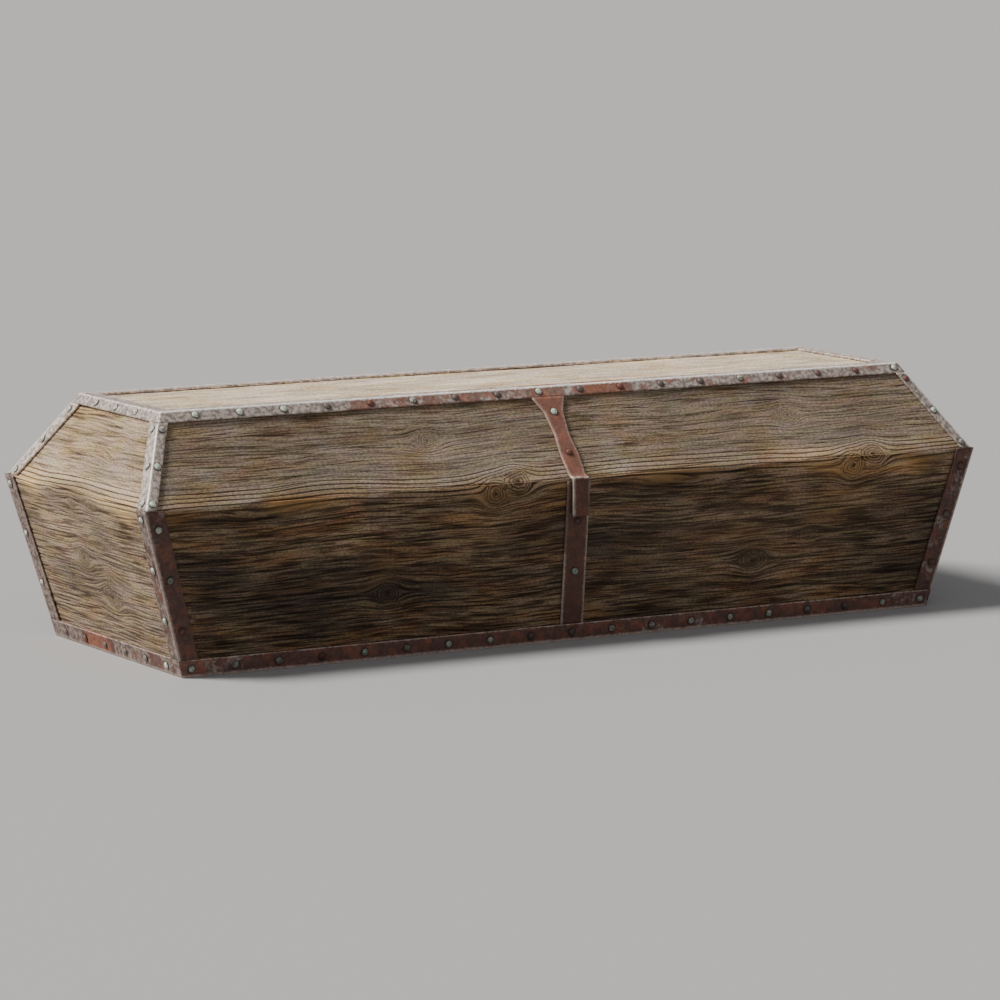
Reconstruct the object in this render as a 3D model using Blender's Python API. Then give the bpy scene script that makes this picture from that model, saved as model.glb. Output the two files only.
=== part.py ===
"""Iron-bound wooden coffin: a splayed box under a hipped lid that lifts off.

Metres, +Z up. The origin is the middle of the underside. The length runs along X,
the front, with the hasp, faces -Y, and the coffin rests on its base rails at Z = 0.
"""
import math
from collections import namedtuple

import bmesh
import bpy
import numpy as np

# Outer sizes, measured over the ironwork
RIM_LENGTH = 2.006
RIM_WIDTH = 0.668
RIM_HEIGHT = 0.3465
LID_HEIGHT = 0.1785

# How far the base and the lid's flat top sit inside the rim, at each end and at front and back
BASE_INSET_ENDS = 0.099
BASE_INSET_FRONT = 0.034
LID_TOP_INSET_ENDS = 0.1065
LID_TOP_INSET_FRONT = 0.146

# How far the lid's rim sits inside the box's rim, at the ends and along the sides
LID_STEP_ENDS = 0.0065
LID_STEP_SIDES = 0.003

# Board thicknesses
BOX_BOARD = 0.025
LID_BOARD = 0.022

# Angle irons: one thickness, and the width of each leg
IRON_THICKNESS = 0.005
LID_RAIL_FLANGE = 0.030
LID_RAIL_DROP = 0.0205
HIP_LEG_SIDES = 0.022
HIP_LEG_ENDS = 0.032
CORNER_LEG_SIDES = 0.043
CORNER_LEG_ENDS = 0.040
BASE_RAIL_FLANGE = 0.037
BASE_RAIL_RISE = 0.0365

# Clearance between pieces that touch
FIT_GAP = 0.0003

# Hasp on the lid: a forged strap, flared at the rail, with a tab turned down over the box
HASP_FLARE_WIDTH = 0.080
HASP_FLARE_LENGTH = 0.038
HASP_SHOULDER_WIDTH = 0.046
HASP_NECK_DOWN = 0.092
HASP_NECK_WIDTH = 0.036
HASP_SWELL_DOWN = 0.144
HASP_SWELL_WIDTH = 0.045
HASP_WIDTH = 0.040
HASP_BEND_RISE = 0.007
TAB_THICKNESS = 0.006
TAB_STAND_OFF = 0.003
TAB_BEND_DROP = 0.0025
TAB_DROP = 0.078

# Strap down the front of the box, cut short so that the hasp's bend clears it
BOX_STRAP_WIDTH = 0.055
BOX_STRAP_SHORT_OF_RIM = 0.005

# Rivets: dome heads, and how they are set out
RIVET_RADIUS = 0.008
RIVET_HEIGHT = 0.005
SMALL_RIVET_RADIUS = 0.005
SMALL_RIVET_HEIGHT = 0.0035
RIVET_ROOT = 0.0015
RIVET_SIDES = 8
LID_ROW_PITCH = 0.1002
LID_ROW_MARGIN = 0.050
LID_ROW_SHIFT = 0.0315
LID_END_PITCH = 0.092
LID_END_MARGIN = 0.090
BASE_ROW_PITCH = 0.0984
BASE_ROW_MARGIN = 0.022
BASE_END_PITCH = 0.095
BASE_END_MARGIN = 0.050
HIP_PITCH = 0.093
HIP_MARGIN = 0.015
CORNER_PITCH = 0.110
CORNER_MARGIN = 0.045
CORNER_RAISE = 0.012
CORNER_STAGGER = 0.021
HASP_UPPER_RIVET_DOWN = 0.038
HASP_LOWER_RIVET_DOWN = 0.138
BOX_STRAP_RIVET_BELOW_RIM = 0.197
BOX_STRAP_SMALL_RIVET_BELOW_TAB = 0.011

# Axis numbers
X, Y, Z = range(3)

# A plane holds the points whose dot product with its normal is its distance
Plane = namedtuple("Plane", "normal distance")


def unit(vector):
    return np.array(vector, dtype=float) / np.linalg.norm(vector)


def axis_plane(axis, distance, facing=1):
    """A plane square to one axis; facing -1 turns its normal round."""
    normal = np.zeros(3)
    normal[axis] = facing
    return Plane(normal, facing * distance)


def moved(plane, outwards):
    """A parallel plane, further out along the normal."""
    return Plane(plane.normal, plane.distance + outwards)


def meeting_point(first, second, third):
    """The point where three planes meet."""
    normals = [first.normal, second.normal, third.normal]
    distances = [first.distance, second.distance, third.distance]
    return np.linalg.solve(normals, distances)


def wall(axis, low_place, low_z, high_place, high_z):
    """The outer plane of a sloping wall, from its places on an axis at two heights."""
    outwards = math.copysign(1.0, low_place)
    normal = np.zeros(3)
    normal[axis] = outwards * (high_z - low_z)
    normal[Z] = outwards * (low_place - high_place)
    foot = np.zeros(3)
    foot[axis] = low_place
    foot[Z] = low_z
    normal = unit(normal)
    return Plane(normal, float(normal @ foot))


def mitre(own, other):
    """The cut where one face's board meets its neighbour's, half the fit gap short."""
    slant = other.normal - own.normal
    size = np.linalg.norm(slant)
    return Plane(slant / size, (other.distance - own.distance) / size - FIT_GAP / 2)


def strip_edge(face, neighbour, width):
    """The plane square to a face, at this width from the edge it shares with a neighbour."""
    inwards = unit(face.normal * (face.normal @ neighbour.normal) - neighbour.normal)
    along = unit(np.cross(face.normal, neighbour.normal))
    on_edge = meeting_point(face, neighbour, Plane(along, 0.0))
    return Plane(inwards, float(inwards @ on_edge) + width)


def slope_width(face, height):
    """The width on a sloping face that spans this height."""
    return height / math.sqrt(1.0 - face.normal[Z] ** 2)


# The outer planes of the ironwork, for the box and for the lid
LID_TOP_HEIGHT = RIM_HEIGHT + LID_HEIGHT
base_x = RIM_LENGTH / 2 - BASE_INSET_ENDS
base_y = RIM_WIDTH / 2 - BASE_INSET_FRONT
rim_x = RIM_LENGTH / 2
rim_y = RIM_WIDTH / 2
lid_rim_x = rim_x - LID_STEP_ENDS
lid_rim_y = rim_y - LID_STEP_SIDES
lid_top_x = rim_x - LID_TOP_INSET_ENDS
lid_top_y = rim_y - LID_TOP_INSET_FRONT
BOX = {
    "underside": axis_plane(Z, 0.0, -1),
    "front": wall(Y, -base_y, 0.0, -rim_y, RIM_HEIGHT),
    "back": wall(Y, base_y, 0.0, rim_y, RIM_HEIGHT),
    "left": wall(X, -base_x, 0.0, -rim_x, RIM_HEIGHT),
    "right": wall(X, base_x, 0.0, rim_x, RIM_HEIGHT),
}
LID = {
    "top": axis_plane(Z, LID_TOP_HEIGHT),
    "front": wall(Y, -lid_rim_y, RIM_HEIGHT, -lid_top_y, LID_TOP_HEIGHT),
    "back": wall(Y, lid_rim_y, RIM_HEIGHT, lid_top_y, LID_TOP_HEIGHT),
    "left": wall(X, -lid_rim_x, RIM_HEIGHT, -lid_top_x, LID_TOP_HEIGHT),
    "right": wall(X, lid_rim_x, RIM_HEIGHT, lid_top_x, LID_TOP_HEIGHT),
}
BOX_RIM = axis_plane(Z, RIM_HEIGHT - FIT_GAP / 2)
LID_RIM = axis_plane(Z, RIM_HEIGHT + FIT_GAP / 2, -1)


def boards_under(faces):
    """The outer planes of the boards, one iron's thickness and the fit gap further in."""
    return {name: moved(face, -IRON_THICKNESS - FIT_GAP) for name, face in faces.items()}


def make_material(name, colour, roughness, metallic):
    material = bpy.data.materials.new(name)
    material.use_nodes = True
    shader = material.node_tree.nodes["Principled BSDF"]
    shader.inputs["Base Color"].default_value = (*colour, 1.0)
    shader.inputs["Roughness"].default_value = roughness
    shader.inputs["Metallic"].default_value = metallic
    material.diffuse_color = (*colour, 1.0)
    return material


def add_object(name, bm, material):
    """Close a bmesh into a named object with one material."""
    bmesh.ops.recalc_face_normals(bm, faces=bm.faces)
    mesh = bpy.data.meshes.new(name)
    bm.to_mesh(mesh)
    bm.free()
    mesh.materials.append(material)
    piece = bpy.data.objects.new(name, mesh)
    bpy.context.collection.objects.link(piece)
    return piece


def lofted(name, sections, caps, material):
    """A solid skinned over loops with the same number of points, closed by the caps."""
    bm = bmesh.new()
    rings = [[bm.verts.new(tuple(point)) for point in section] for section in sections]
    count = len(rings[0])
    for near, far in zip(rings, rings[1:]):
        for i in range(count):
            j = (i + 1) % count
            bm.faces.new((near[i], near[j], far[j], far[i]))
    for ring in (rings[0], rings[-1]):
        for cap in caps:
            bm.faces.new([ring[i] for i in cap])
    return add_object(name, bm, material)


def plate(name, outer, thickness, around, material):
    """A flat board or strap between its outer plane and four edge planes in order."""
    inner = moved(outer, -thickness)
    loops = []
    for surface in (outer, inner):
        loops.append([meeting_point(surface, around[i], around[(i + 1) % 4]) for i in range(4)])
    return lofted(name, loops, [(0, 1, 2, 3)], material)


# An angle iron's section runs outer corner, first tip out and in, inner corner, second tip
# in and out. Its ends are split into triangles in one way, so that mitres match.
IRON_CAPS = [(0, 1, 2), (0, 2, 3), (0, 3, 4), (0, 4, 5)]


def rail_end(flat, side, end, flange, drop, inwards):
    """The section of a rail at a corner, mitred to the rail on the next wall."""
    flat_in = moved(flat, -IRON_THICKNESS)
    side_in = moved(side, -IRON_THICKNESS)
    end_in = moved(end, -IRON_THICKNESS)
    flange_edge = strip_edge(flat, side, flange)
    next_flange_edge = strip_edge(flat, end, flange)
    side_edge = strip_edge(side, flat, slope_width(side, drop))
    section = [
        meeting_point(flat, side, end),
        meeting_point(flat, flange_edge, next_flange_edge),
        meeting_point(flat_in, flange_edge, next_flange_edge),
        meeting_point(flat_in, side_in, end_in),
        meeting_point(side_in, side_edge, end_in),
        meeting_point(side, side_edge, end),
    ]
    return [point + inwards * FIT_GAP for point in section]


def make_rail(name, flat, side, ends, flange, drop, material):
    """An angle iron along a level edge, from one mitred corner to the other."""
    start = meeting_point(flat, side, ends[0])
    finish = meeting_point(flat, side, ends[1])
    along = unit(finish - start)
    sections = [
        rail_end(flat, side, ends[0], flange, drop, along),
        rail_end(flat, side, ends[1], flange, drop, -along),
    ]
    return lofted(name, sections, IRON_CAPS, material)


def post_at_rail(side, end, flat, legs, drop):
    """The section of a corner iron where it stands against the rails' edges."""
    side_in = moved(side, -IRON_THICKNESS)
    end_in = moved(end, -IRON_THICKNESS)
    side_leg = strip_edge(side, end, legs[0])
    end_leg = strip_edge(end, side, legs[1])
    side_cut = moved(strip_edge(side, flat, slope_width(side, drop)), FIT_GAP)
    end_cut = moved(strip_edge(end, flat, slope_width(end, drop)), FIT_GAP)

    def clear_of_rails(first, second):
        points = [meeting_point(first, second, cut) for cut in (side_cut, end_cut)]
        return min(points, key=lambda point: float(flat.normal @ point))

    return [
        clear_of_rails(side, end),
        meeting_point(side, side_leg, side_cut),
        meeting_point(side_in, side_leg, side_cut),
        clear_of_rails(side_in, end_in),
        meeting_point(end_in, end_leg, end_cut),
        meeting_point(end, end_leg, end_cut),
    ]


def post_at_rim(side, end, rim, legs):
    """The section of a corner iron where it is cut off level at the rim."""
    side_in = moved(side, -IRON_THICKNESS)
    end_in = moved(end, -IRON_THICKNESS)
    side_leg = strip_edge(side, end, legs[0])
    end_leg = strip_edge(end, side, legs[1])
    return [
        meeting_point(side, end, rim),
        meeting_point(side, side_leg, rim),
        meeting_point(side_in, side_leg, rim),
        meeting_point(side_in, end_in, rim),
        meeting_point(end_in, end_leg, rim),
        meeting_point(end, end_leg, rim),
    ]


def rivet_head(bm, spot, outwards, radius, height):
    """A faceted dome with a short root that joins it to its iron."""
    profile = [(0.0, -RIVET_ROOT), (radius, -RIVET_ROOT), (radius * 0.96, height * 0.25)]
    profile += [(radius * 0.62, height * 0.80), (0.0, height)]
    outwards = unit(outwards)
    across = unit(np.cross(outwards, (0.0, 0.0, 1.0) if abs(outwards[Z]) < 0.9 else (1.0, 0.0, 0.0)))
    edges = []
    points = [bm.verts.new(tuple(spot + across * r + outwards * h)) for r, h in profile]
    for near, far in zip(points, points[1:]):
        edges.append(bm.edges.new((near, far)))
    bmesh.ops.spin(
        bm,
        geom=points + edges,
        cent=tuple(spot),
        axis=tuple(outwards),
        steps=RIVET_SIDES,
        angle=math.tau,
    )


def add_rivets(iron, spots, outwards, radius=RIVET_RADIUS, height=RIVET_HEIGHT):
    """Fuse a row of rivet heads to the iron that they hold."""
    bm = bmesh.new()
    for spot in spots:
        rivet_head(bm, spot, outwards, radius, height)
    bmesh.ops.remove_doubles(bm, verts=bm.verts, dist=0.00002)
    heads = add_object(f"{iron.name}_rivets_{len(iron.modifiers)}", bm, iron.data.materials[0])
    heads.hide_render = True
    heads.display_type = "WIRE"
    union = iron.modifiers.new("rivets", "BOOLEAN")
    union.operation = "UNION"
    union.solver = "EXACT"
    union.object = heads


def even_row(length, margin, pitch):
    """Places along a line, centred on zero, that keep the margin at both ends."""
    count = max(1, int((length - 2 * margin) / pitch) + 1)
    return [(i - (count - 1) / 2) * pitch for i in range(count)]


def rail_rivets(rail, flat, side, ends, drop, margin, pitch, shift=0.0):
    """A row of rivets along the middle of a rail's leg on the wall."""
    middle = strip_edge(side, flat, slope_width(side, drop) / 2)
    start = meeting_point(side, middle, ends[0])
    finish = meeting_point(side, middle, ends[1])
    along = unit(finish - start)
    centre = (start + finish) / 2
    row = even_row(np.linalg.norm(finish - start), margin, pitch)
    add_rivets(rail, [centre + along * (place + shift) for place in row], side.normal)


def post_rivets(post, face, neighbour, leg, low, high, margin, pitch, raised):
    """A row of rivets up the middle of a corner iron's leg."""
    middle = strip_edge(face, neighbour, leg / 2)
    start = meeting_point(face, middle, axis_plane(Z, low))
    finish = meeting_point(face, middle, axis_plane(Z, high))
    along = unit(finish - start)
    centre = (start + finish) / 2 + along * raised
    row = even_row(np.linalg.norm(finish - start), margin, pitch)
    add_rivets(post, [centre + along * place for place in row], face.normal)


# For each wall, the walls at its two ends
ENDS_OF = {
    "front": ("left", "right"),
    "back": ("right", "left"),
    "left": ("back", "front"),
    "right": ("front", "back"),
}


def make_boards(prefix, faces, flat, rim, thickness, material):
    """The four walls and the flat board of the box or the lid, mitred to each other."""
    outer = boards_under(faces)
    for name, ends in ENDS_OF.items():
        around = [
            rim,
            mitre(outer[name], outer[ends[0]]),
            mitre(outer[name], outer[flat]),
            mitre(outer[name], outer[ends[1]]),
        ]
        plate(f"{prefix}_{name}_board", outer[name], thickness, around, material)
    around = [mitre(outer[flat], outer[name]) for name in ("front", "right", "back", "left")]
    label = "bottom" if flat == "underside" else flat
    plate(f"{prefix}_{label}_board", outer[flat], thickness, around, material)


def make_lid_irons(material):
    """Four rails round the flat top, and a hip iron down each sloping corner."""
    top = LID["top"]
    hip_top = LID_TOP_HEIGHT - LID_RAIL_DROP
    for name, ends in ENDS_OF.items():
        side = LID[name]
        walls = [LID[end] for end in ends]
        rail = make_rail(f"lid_{name}_rail", top, side, walls, LID_RAIL_FLANGE, LID_RAIL_DROP, material)
        if name in ("front", "back"):
            shift = LID_ROW_SHIFT if name == "front" else 0.0
            rail_rivets(rail, top, side, walls, LID_RAIL_DROP, LID_ROW_MARGIN, LID_ROW_PITCH, shift)
        else:
            rail_rivets(rail, top, side, walls, LID_RAIL_DROP, LID_END_MARGIN, LID_END_PITCH)
    for side_name in ("front", "back"):
        for end_name in ("left", "right"):
            side, end = LID[side_name], LID[end_name]
            legs = (HIP_LEG_SIDES, HIP_LEG_ENDS)
            sections = [
                post_at_rail(side, end, top, legs, LID_RAIL_DROP),
                post_at_rim(side, end, LID_RIM, legs),
            ]
            hip = lofted(f"lid_hip_{side_name}_{end_name}", sections, IRON_CAPS, material)
            for face, other, leg in ((side, end, legs[0]), (end, side, legs[1])):
                post_rivets(hip, face, other, leg, RIM_HEIGHT, hip_top, HIP_MARGIN, HIP_PITCH, 0.0)


def make_box_irons(material):
    """Four base rails under the box, and an upright iron on each corner."""
    underside = BOX["underside"]
    for name, ends in ENDS_OF.items():
        side = BOX[name]
        walls = [BOX[end] for end in ends]
        rail = make_rail(
            f"base_{name}_rail", underside, side, walls, BASE_RAIL_FLANGE, BASE_RAIL_RISE, material
        )
        long_side = name in ("front", "back")
        margin = BASE_ROW_MARGIN if long_side else BASE_END_MARGIN
        pitch = BASE_ROW_PITCH if long_side else BASE_END_PITCH
        rail_rivets(rail, underside, side, walls, BASE_RAIL_RISE, margin, pitch)
    for side_name in ("front", "back"):
        for end_name in ("left", "right"):
            side, end = BOX[side_name], BOX[end_name]
            legs = (CORNER_LEG_SIDES, CORNER_LEG_ENDS)
            sections = [
                post_at_rail(side, end, underside, legs, BASE_RAIL_RISE),
                post_at_rim(side, end, BOX_RIM, legs),
            ]
            post = lofted(f"box_corner_{side_name}_{end_name}", sections, IRON_CAPS, material)
            span = (BASE_RAIL_RISE, RIM_HEIGHT, CORNER_MARGIN, CORNER_PITCH)
            post_rivets(post, side, end, legs[0], *span, CORNER_RAISE)
            post_rivets(post, end, side, legs[1], *span, CORNER_RAISE + CORNER_STAGGER)


def make_box_strap(material):
    """The flat strap up the middle of the box's front."""
    front = BOX["front"]
    rail_edge = strip_edge(front, BOX["underside"], slope_width(front, BASE_RAIL_RISE))
    foot = Plane(-rail_edge.normal, -rail_edge.distance - FIT_GAP)
    head = axis_plane(Z, RIM_HEIGHT - BOX_STRAP_SHORT_OF_RIM)
    half = BOX_STRAP_WIDTH / 2
    around = [head, axis_plane(X, half), foot, axis_plane(X, -half, -1)]
    strap = plate("box_strap", front, IRON_THICKNESS, around, material)
    middle = axis_plane(X, 0.0)
    big = meeting_point(front, middle, axis_plane(Z, RIM_HEIGHT - BOX_STRAP_RIVET_BELOW_RIM))
    add_rivets(strap, [big], front.normal)
    below_tab = RIM_HEIGHT - TAB_DROP - BOX_STRAP_SMALL_RIVET_BELOW_TAB
    small = meeting_point(front, middle, axis_plane(Z, below_tab))
    add_rivets(strap, [small], front.normal, SMALL_RIVET_RADIUS, SMALL_RIVET_HEIGHT)


def make_lid_hasp(material):
    """The forged strap down the lid's front, bent at the rim into a hanging tab."""
    front = LID["front"]
    inner = moved(front, -IRON_THICKNESS)
    rail_edge = strip_edge(front, LID["top"], slope_width(front, LID_RAIL_DROP))
    middle = axis_plane(X, 0.0)

    def on_slope(down):
        cut = moved(rail_edge, down)
        return meeting_point(front, cut, middle), meeting_point(inner, cut, middle)

    bend_start = meeting_point(front, middle, axis_plane(Z, RIM_HEIGHT + HASP_BEND_RISE))
    bend_down = float(rail_edge.normal @ bend_start) - rail_edge.distance
    tab_back = -RIM_WIDTH / 2 - TAB_STAND_OFF
    tab_front = tab_back - TAB_THICKNESS
    bend_low = RIM_HEIGHT - TAB_BEND_DROP
    bend_high = bend_low + IRON_THICKNESS
    tab_foot = RIM_HEIGHT - TAB_DROP
    stations = [
        (*on_slope(FIT_GAP), HASP_FLARE_WIDTH),
        (*on_slope(HASP_FLARE_LENGTH), HASP_SHOULDER_WIDTH),
        (*on_slope(HASP_NECK_DOWN), HASP_NECK_WIDTH),
        (*on_slope(HASP_SWELL_DOWN), HASP_SWELL_WIDTH),
        (*on_slope(bend_down), HASP_WIDTH),
        (np.array((0.0, tab_front, bend_high)), np.array((0.0, tab_back, bend_low)), HASP_WIDTH),
        (np.array((0.0, tab_front, tab_foot)), np.array((0.0, tab_back, tab_foot)), HASP_WIDTH),
    ]
    sections = []
    for outer_point, inner_point, width in stations:
        half = np.array((width / 2, 0.0, 0.0))
        sections.append([outer_point - half, outer_point + half, inner_point + half, inner_point - half])
    hasp = lofted("lid_hasp", sections, [(0, 1, 2, 3)], material)
    spots = [on_slope(down)[0] for down in (HASP_UPPER_RIVET_DOWN, HASP_LOWER_RIVET_DOWN)]
    add_rivets(hasp, spots, front.normal)


def clear_scene():
    for item in list(bpy.data.objects):
        bpy.data.objects.remove(item, do_unlink=True)


def shade_round_heads():
    """Smooth shading for the rivet heads, with the irons' edges kept sharp."""
    for piece in bpy.data.objects:
        if piece.modifiers:
            piece.data.shade_smooth()
            piece.data.set_sharp_from_angle(angle=math.radians(50))


def main():
    clear_scene()
    lid_wood = make_material("lid_wood", (0.33, 0.26, 0.19), 0.85, 0.0)
    box_wood = make_material("box_wood", (0.19, 0.14, 0.09), 0.85, 0.0)
    lid_iron = make_material("lid_iron", (0.46, 0.40, 0.39), 0.6, 0.4)
    box_iron = make_material("box_iron", (0.22, 0.13, 0.11), 0.7, 0.3)
    strap_iron = make_material("strap_iron", (0.30, 0.12, 0.09), 0.7, 0.3)
    make_boards("lid", LID, "top", LID_RIM, LID_BOARD, lid_wood)
    make_boards("box", BOX, "underside", BOX_RIM, BOX_BOARD, box_wood)
    make_lid_irons(lid_iron)
    make_box_irons(box_iron)
    make_lid_hasp(strap_iron)
    make_box_strap(strap_iron)
    shade_round_heads()


main()
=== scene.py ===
# %% [markdown]
# # An iron-bound coffin
# A long box with splayed walls and a hipped lid, made from wide old boards and bound with riveted
# angle irons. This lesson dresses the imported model, the frame: the frame gives every place and
# size, and each step adds one thing that the real coffin has. Lengths are metres, and +Z is up.

# %% The frame
import math
from collections import namedtuple

import bmesh
import bpy
import numpy as np
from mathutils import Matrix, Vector


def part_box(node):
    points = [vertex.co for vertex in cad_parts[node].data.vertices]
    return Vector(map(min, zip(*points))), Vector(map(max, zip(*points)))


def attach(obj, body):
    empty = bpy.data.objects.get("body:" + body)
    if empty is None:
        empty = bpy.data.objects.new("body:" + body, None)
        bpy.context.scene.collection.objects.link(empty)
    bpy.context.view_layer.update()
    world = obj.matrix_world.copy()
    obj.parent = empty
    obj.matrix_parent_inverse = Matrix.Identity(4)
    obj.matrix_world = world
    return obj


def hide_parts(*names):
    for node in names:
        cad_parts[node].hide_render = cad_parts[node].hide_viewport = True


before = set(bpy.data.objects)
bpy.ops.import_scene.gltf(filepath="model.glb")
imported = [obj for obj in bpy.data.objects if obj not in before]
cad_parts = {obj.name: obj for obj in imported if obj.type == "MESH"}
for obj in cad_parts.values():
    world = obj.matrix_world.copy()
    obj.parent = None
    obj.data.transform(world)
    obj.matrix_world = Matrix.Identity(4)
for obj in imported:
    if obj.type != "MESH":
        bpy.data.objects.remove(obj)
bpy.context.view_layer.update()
print("the frame holds", len(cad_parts), "nodes")

# %% [markdown]
# ## The camera
# The photograph was taken with a long lens from the front left, a little above the lid. A camera
# was fitted to the coffin's corners, so its place, its turn and its lens are plain numbers here.
# A focal length in pixels becomes a lens when the picture is 1000 pixels wide.

# %% Camera
CAMERA_PLACE = (-5.114, -8.822, 1.687)
CAMERA_YAW = math.radians(30.111)
CAMERA_PITCH = math.radians(7.963)
FOCAL_PIXELS = 4817.5
PICTURE_PIXELS = 1000
SENSOR_MM = 36

camera_data = bpy.data.cameras.new("camera")
camera_data.sensor_width = SENSOR_MM
camera_data.lens = FOCAL_PIXELS * SENSOR_MM / PICTURE_PIXELS
camera_data.clip_end = 500
camera = bpy.data.objects.new("camera", camera_data)
camera.location = CAMERA_PLACE
camera.rotation_euler = (math.pi / 2 - CAMERA_PITCH, 0, -CAMERA_YAW)
bpy.context.scene.collection.objects.link(camera)
bpy.context.scene.camera = camera
print("the lens is", round(camera_data.lens, 1), "mm")

# %% [markdown]
# ## The studio
# The coffin stands on a plain pale floor. Sun lamps with wide discs give soft shadows and the
# same light all over a large floor, where an area lamp would leave a bright pool. The main one
# stands high on the left, so the lid and the left end are bright and the front is in shade.

# %% Floor and light
FLOOR_HALF = 120
FLOOR_COLOUR = (0.42, 0.415, 0.41, 1)
SKY_COLOUR = (0.93, 0.95, 1.0, 1)
SKY_STRENGTH = 0.26
LAMPS = {
    "key": ((-0.60, 0.22, 0.77), 4.8, 18, (1.0, 0.97, 0.93)),
    "fill": ((-0.30, -0.80, 0.52), 0.24, 40, (1.0, 0.98, 0.96)),
}


def plain_material(name, colour, roughness):
    material = bpy.data.materials.new(name)
    material.use_nodes = True
    shader = material.node_tree.nodes["Principled BSDF"]
    shader.inputs["Base Color"].default_value = colour
    shader.inputs["Roughness"].default_value = roughness
    return material


floor_mesh = bpy.data.meshes.new("floor")
floor_corners = [(-1, -1), (1, -1), (1, 1), (-1, 1)]
floor_mesh.from_pydata([(x * FLOOR_HALF, y * FLOOR_HALF, 0) for x, y in floor_corners], [], [(0, 1, 2, 3)])
floor_mesh.materials.append(plain_material("floor", FLOOR_COLOUR, 0.9))
floor = bpy.data.objects.new("floor", floor_mesh)
bpy.context.scene.collection.objects.link(floor)

world = bpy.data.worlds.new("studio")
world.use_nodes = True
world.node_tree.nodes["Background"].inputs["Color"].default_value = SKY_COLOUR
world.node_tree.nodes["Background"].inputs["Strength"].default_value = SKY_STRENGTH
bpy.context.scene.world = world

for name, (towards, strength, disc_degrees, colour) in LAMPS.items():
    lamp_data = bpy.data.lights.new(name, "SUN")
    lamp_data.energy = strength
    lamp_data.angle = math.radians(disc_degrees)
    lamp_data.color = colour
    lamp = bpy.data.objects.new(name, lamp_data)
    lamp.rotation_euler = Vector(towards).to_track_quat("Z", "Y").to_euler()
    bpy.context.scene.collection.objects.link(lamp)
print("lamps:", ", ".join(LAMPS))

# %% [markdown]
# ## Reading the walls
# Every board and iron lies on one of ten flat walls. The frame's meshes are loose triangles, so a
# copy is merged before it is read. A wall is then the largest flat face of an iron that looks the
# right way. On a wall, a place is told by two numbers: how far along it is, and how far it is
# above or below the rim, measured on the slope.

# %% Walls from the frame
Wall = namedtuple("Wall", "normal distance")
OUTWARDS = {
    "front": (0, -1),
    "back": (0, 1),
    "left": (-1, 0),
    "right": (1, 0),
}
LEAN = {"lid": 0.7, "base": -0.15}
ENDS = ("left", "right")
FLATS = ("top", "bottom")
MERGE = 0.00002
TOWARDS_WALL = 0.9


def unit(vector):
    return np.array(vector, dtype=float) / np.linalg.norm(vector)


def node_points(node):
    """The merged corner points of a node."""
    bm = bmesh.new()
    bm.from_mesh(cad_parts[node].data)
    bmesh.ops.remove_doubles(bm, verts=bm.verts, dist=MERGE)
    points = np.array([vertex.co for vertex in bm.verts])
    bm.free()
    return points


def largest_face(node, towards):
    """The plane of a node's largest triangle among those that look this way."""
    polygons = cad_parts[node].data.polygons
    faces = [face for face in polygons if face.normal.dot(Vector(towards)) > TOWARDS_WALL]
    best = max(faces, key=lambda face: face.area)
    normal = unit(best.normal)
    return Wall(normal, float(normal @ np.array(best.center)))


WALLS = {}
for part_name, lean in LEAN.items():
    for side, outwards in OUTWARDS.items():
        WALLS[part_name, side] = largest_face(f"{part_name}_{side}_rail", unit((*outwards, lean)))
WALLS["lid", "top"] = largest_face("lid_front_rail", (0, 0, 1))
WALLS["base", "bottom"] = largest_face("base_front_rail", (0, 0, -1))
RIM_Z = (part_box("box_front_board")[1].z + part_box("lid_front_board")[0].z) / 2


def wall_places(points, side, wall):
    """How far along a wall each point is, and how far above the rim on the slope."""
    if side in FLATS:
        return points[:, 0], points[:, 1]
    slope = math.hypot(wall.normal[0], wall.normal[1])
    return points[:, 1 if side in ENDS else 0], (points[:, 2] - RIM_Z) / slope


def inwards(side, wall):
    """Level and into the coffin from a wall, or straight in from the flat boards."""
    if side in FLATS:
        return -wall.normal
    return -unit((wall.normal[0], wall.normal[1], 0))


print("walls:", len(WALLS), "and the rim at", round(RIM_Z, 4))

# %% [markdown]
# ## Wiring helper
# The same grain has to give a board its relief, in Geometry Nodes, and its colour, in a shader.
# Both kinds of tree know the same maths and noise nodes. So a small class adds nodes to either
# kind, and each pattern is written once as a function of it.

# %% Wiring
NODE_STEP = 200
NODES_IN_COLUMN = 6


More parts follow.
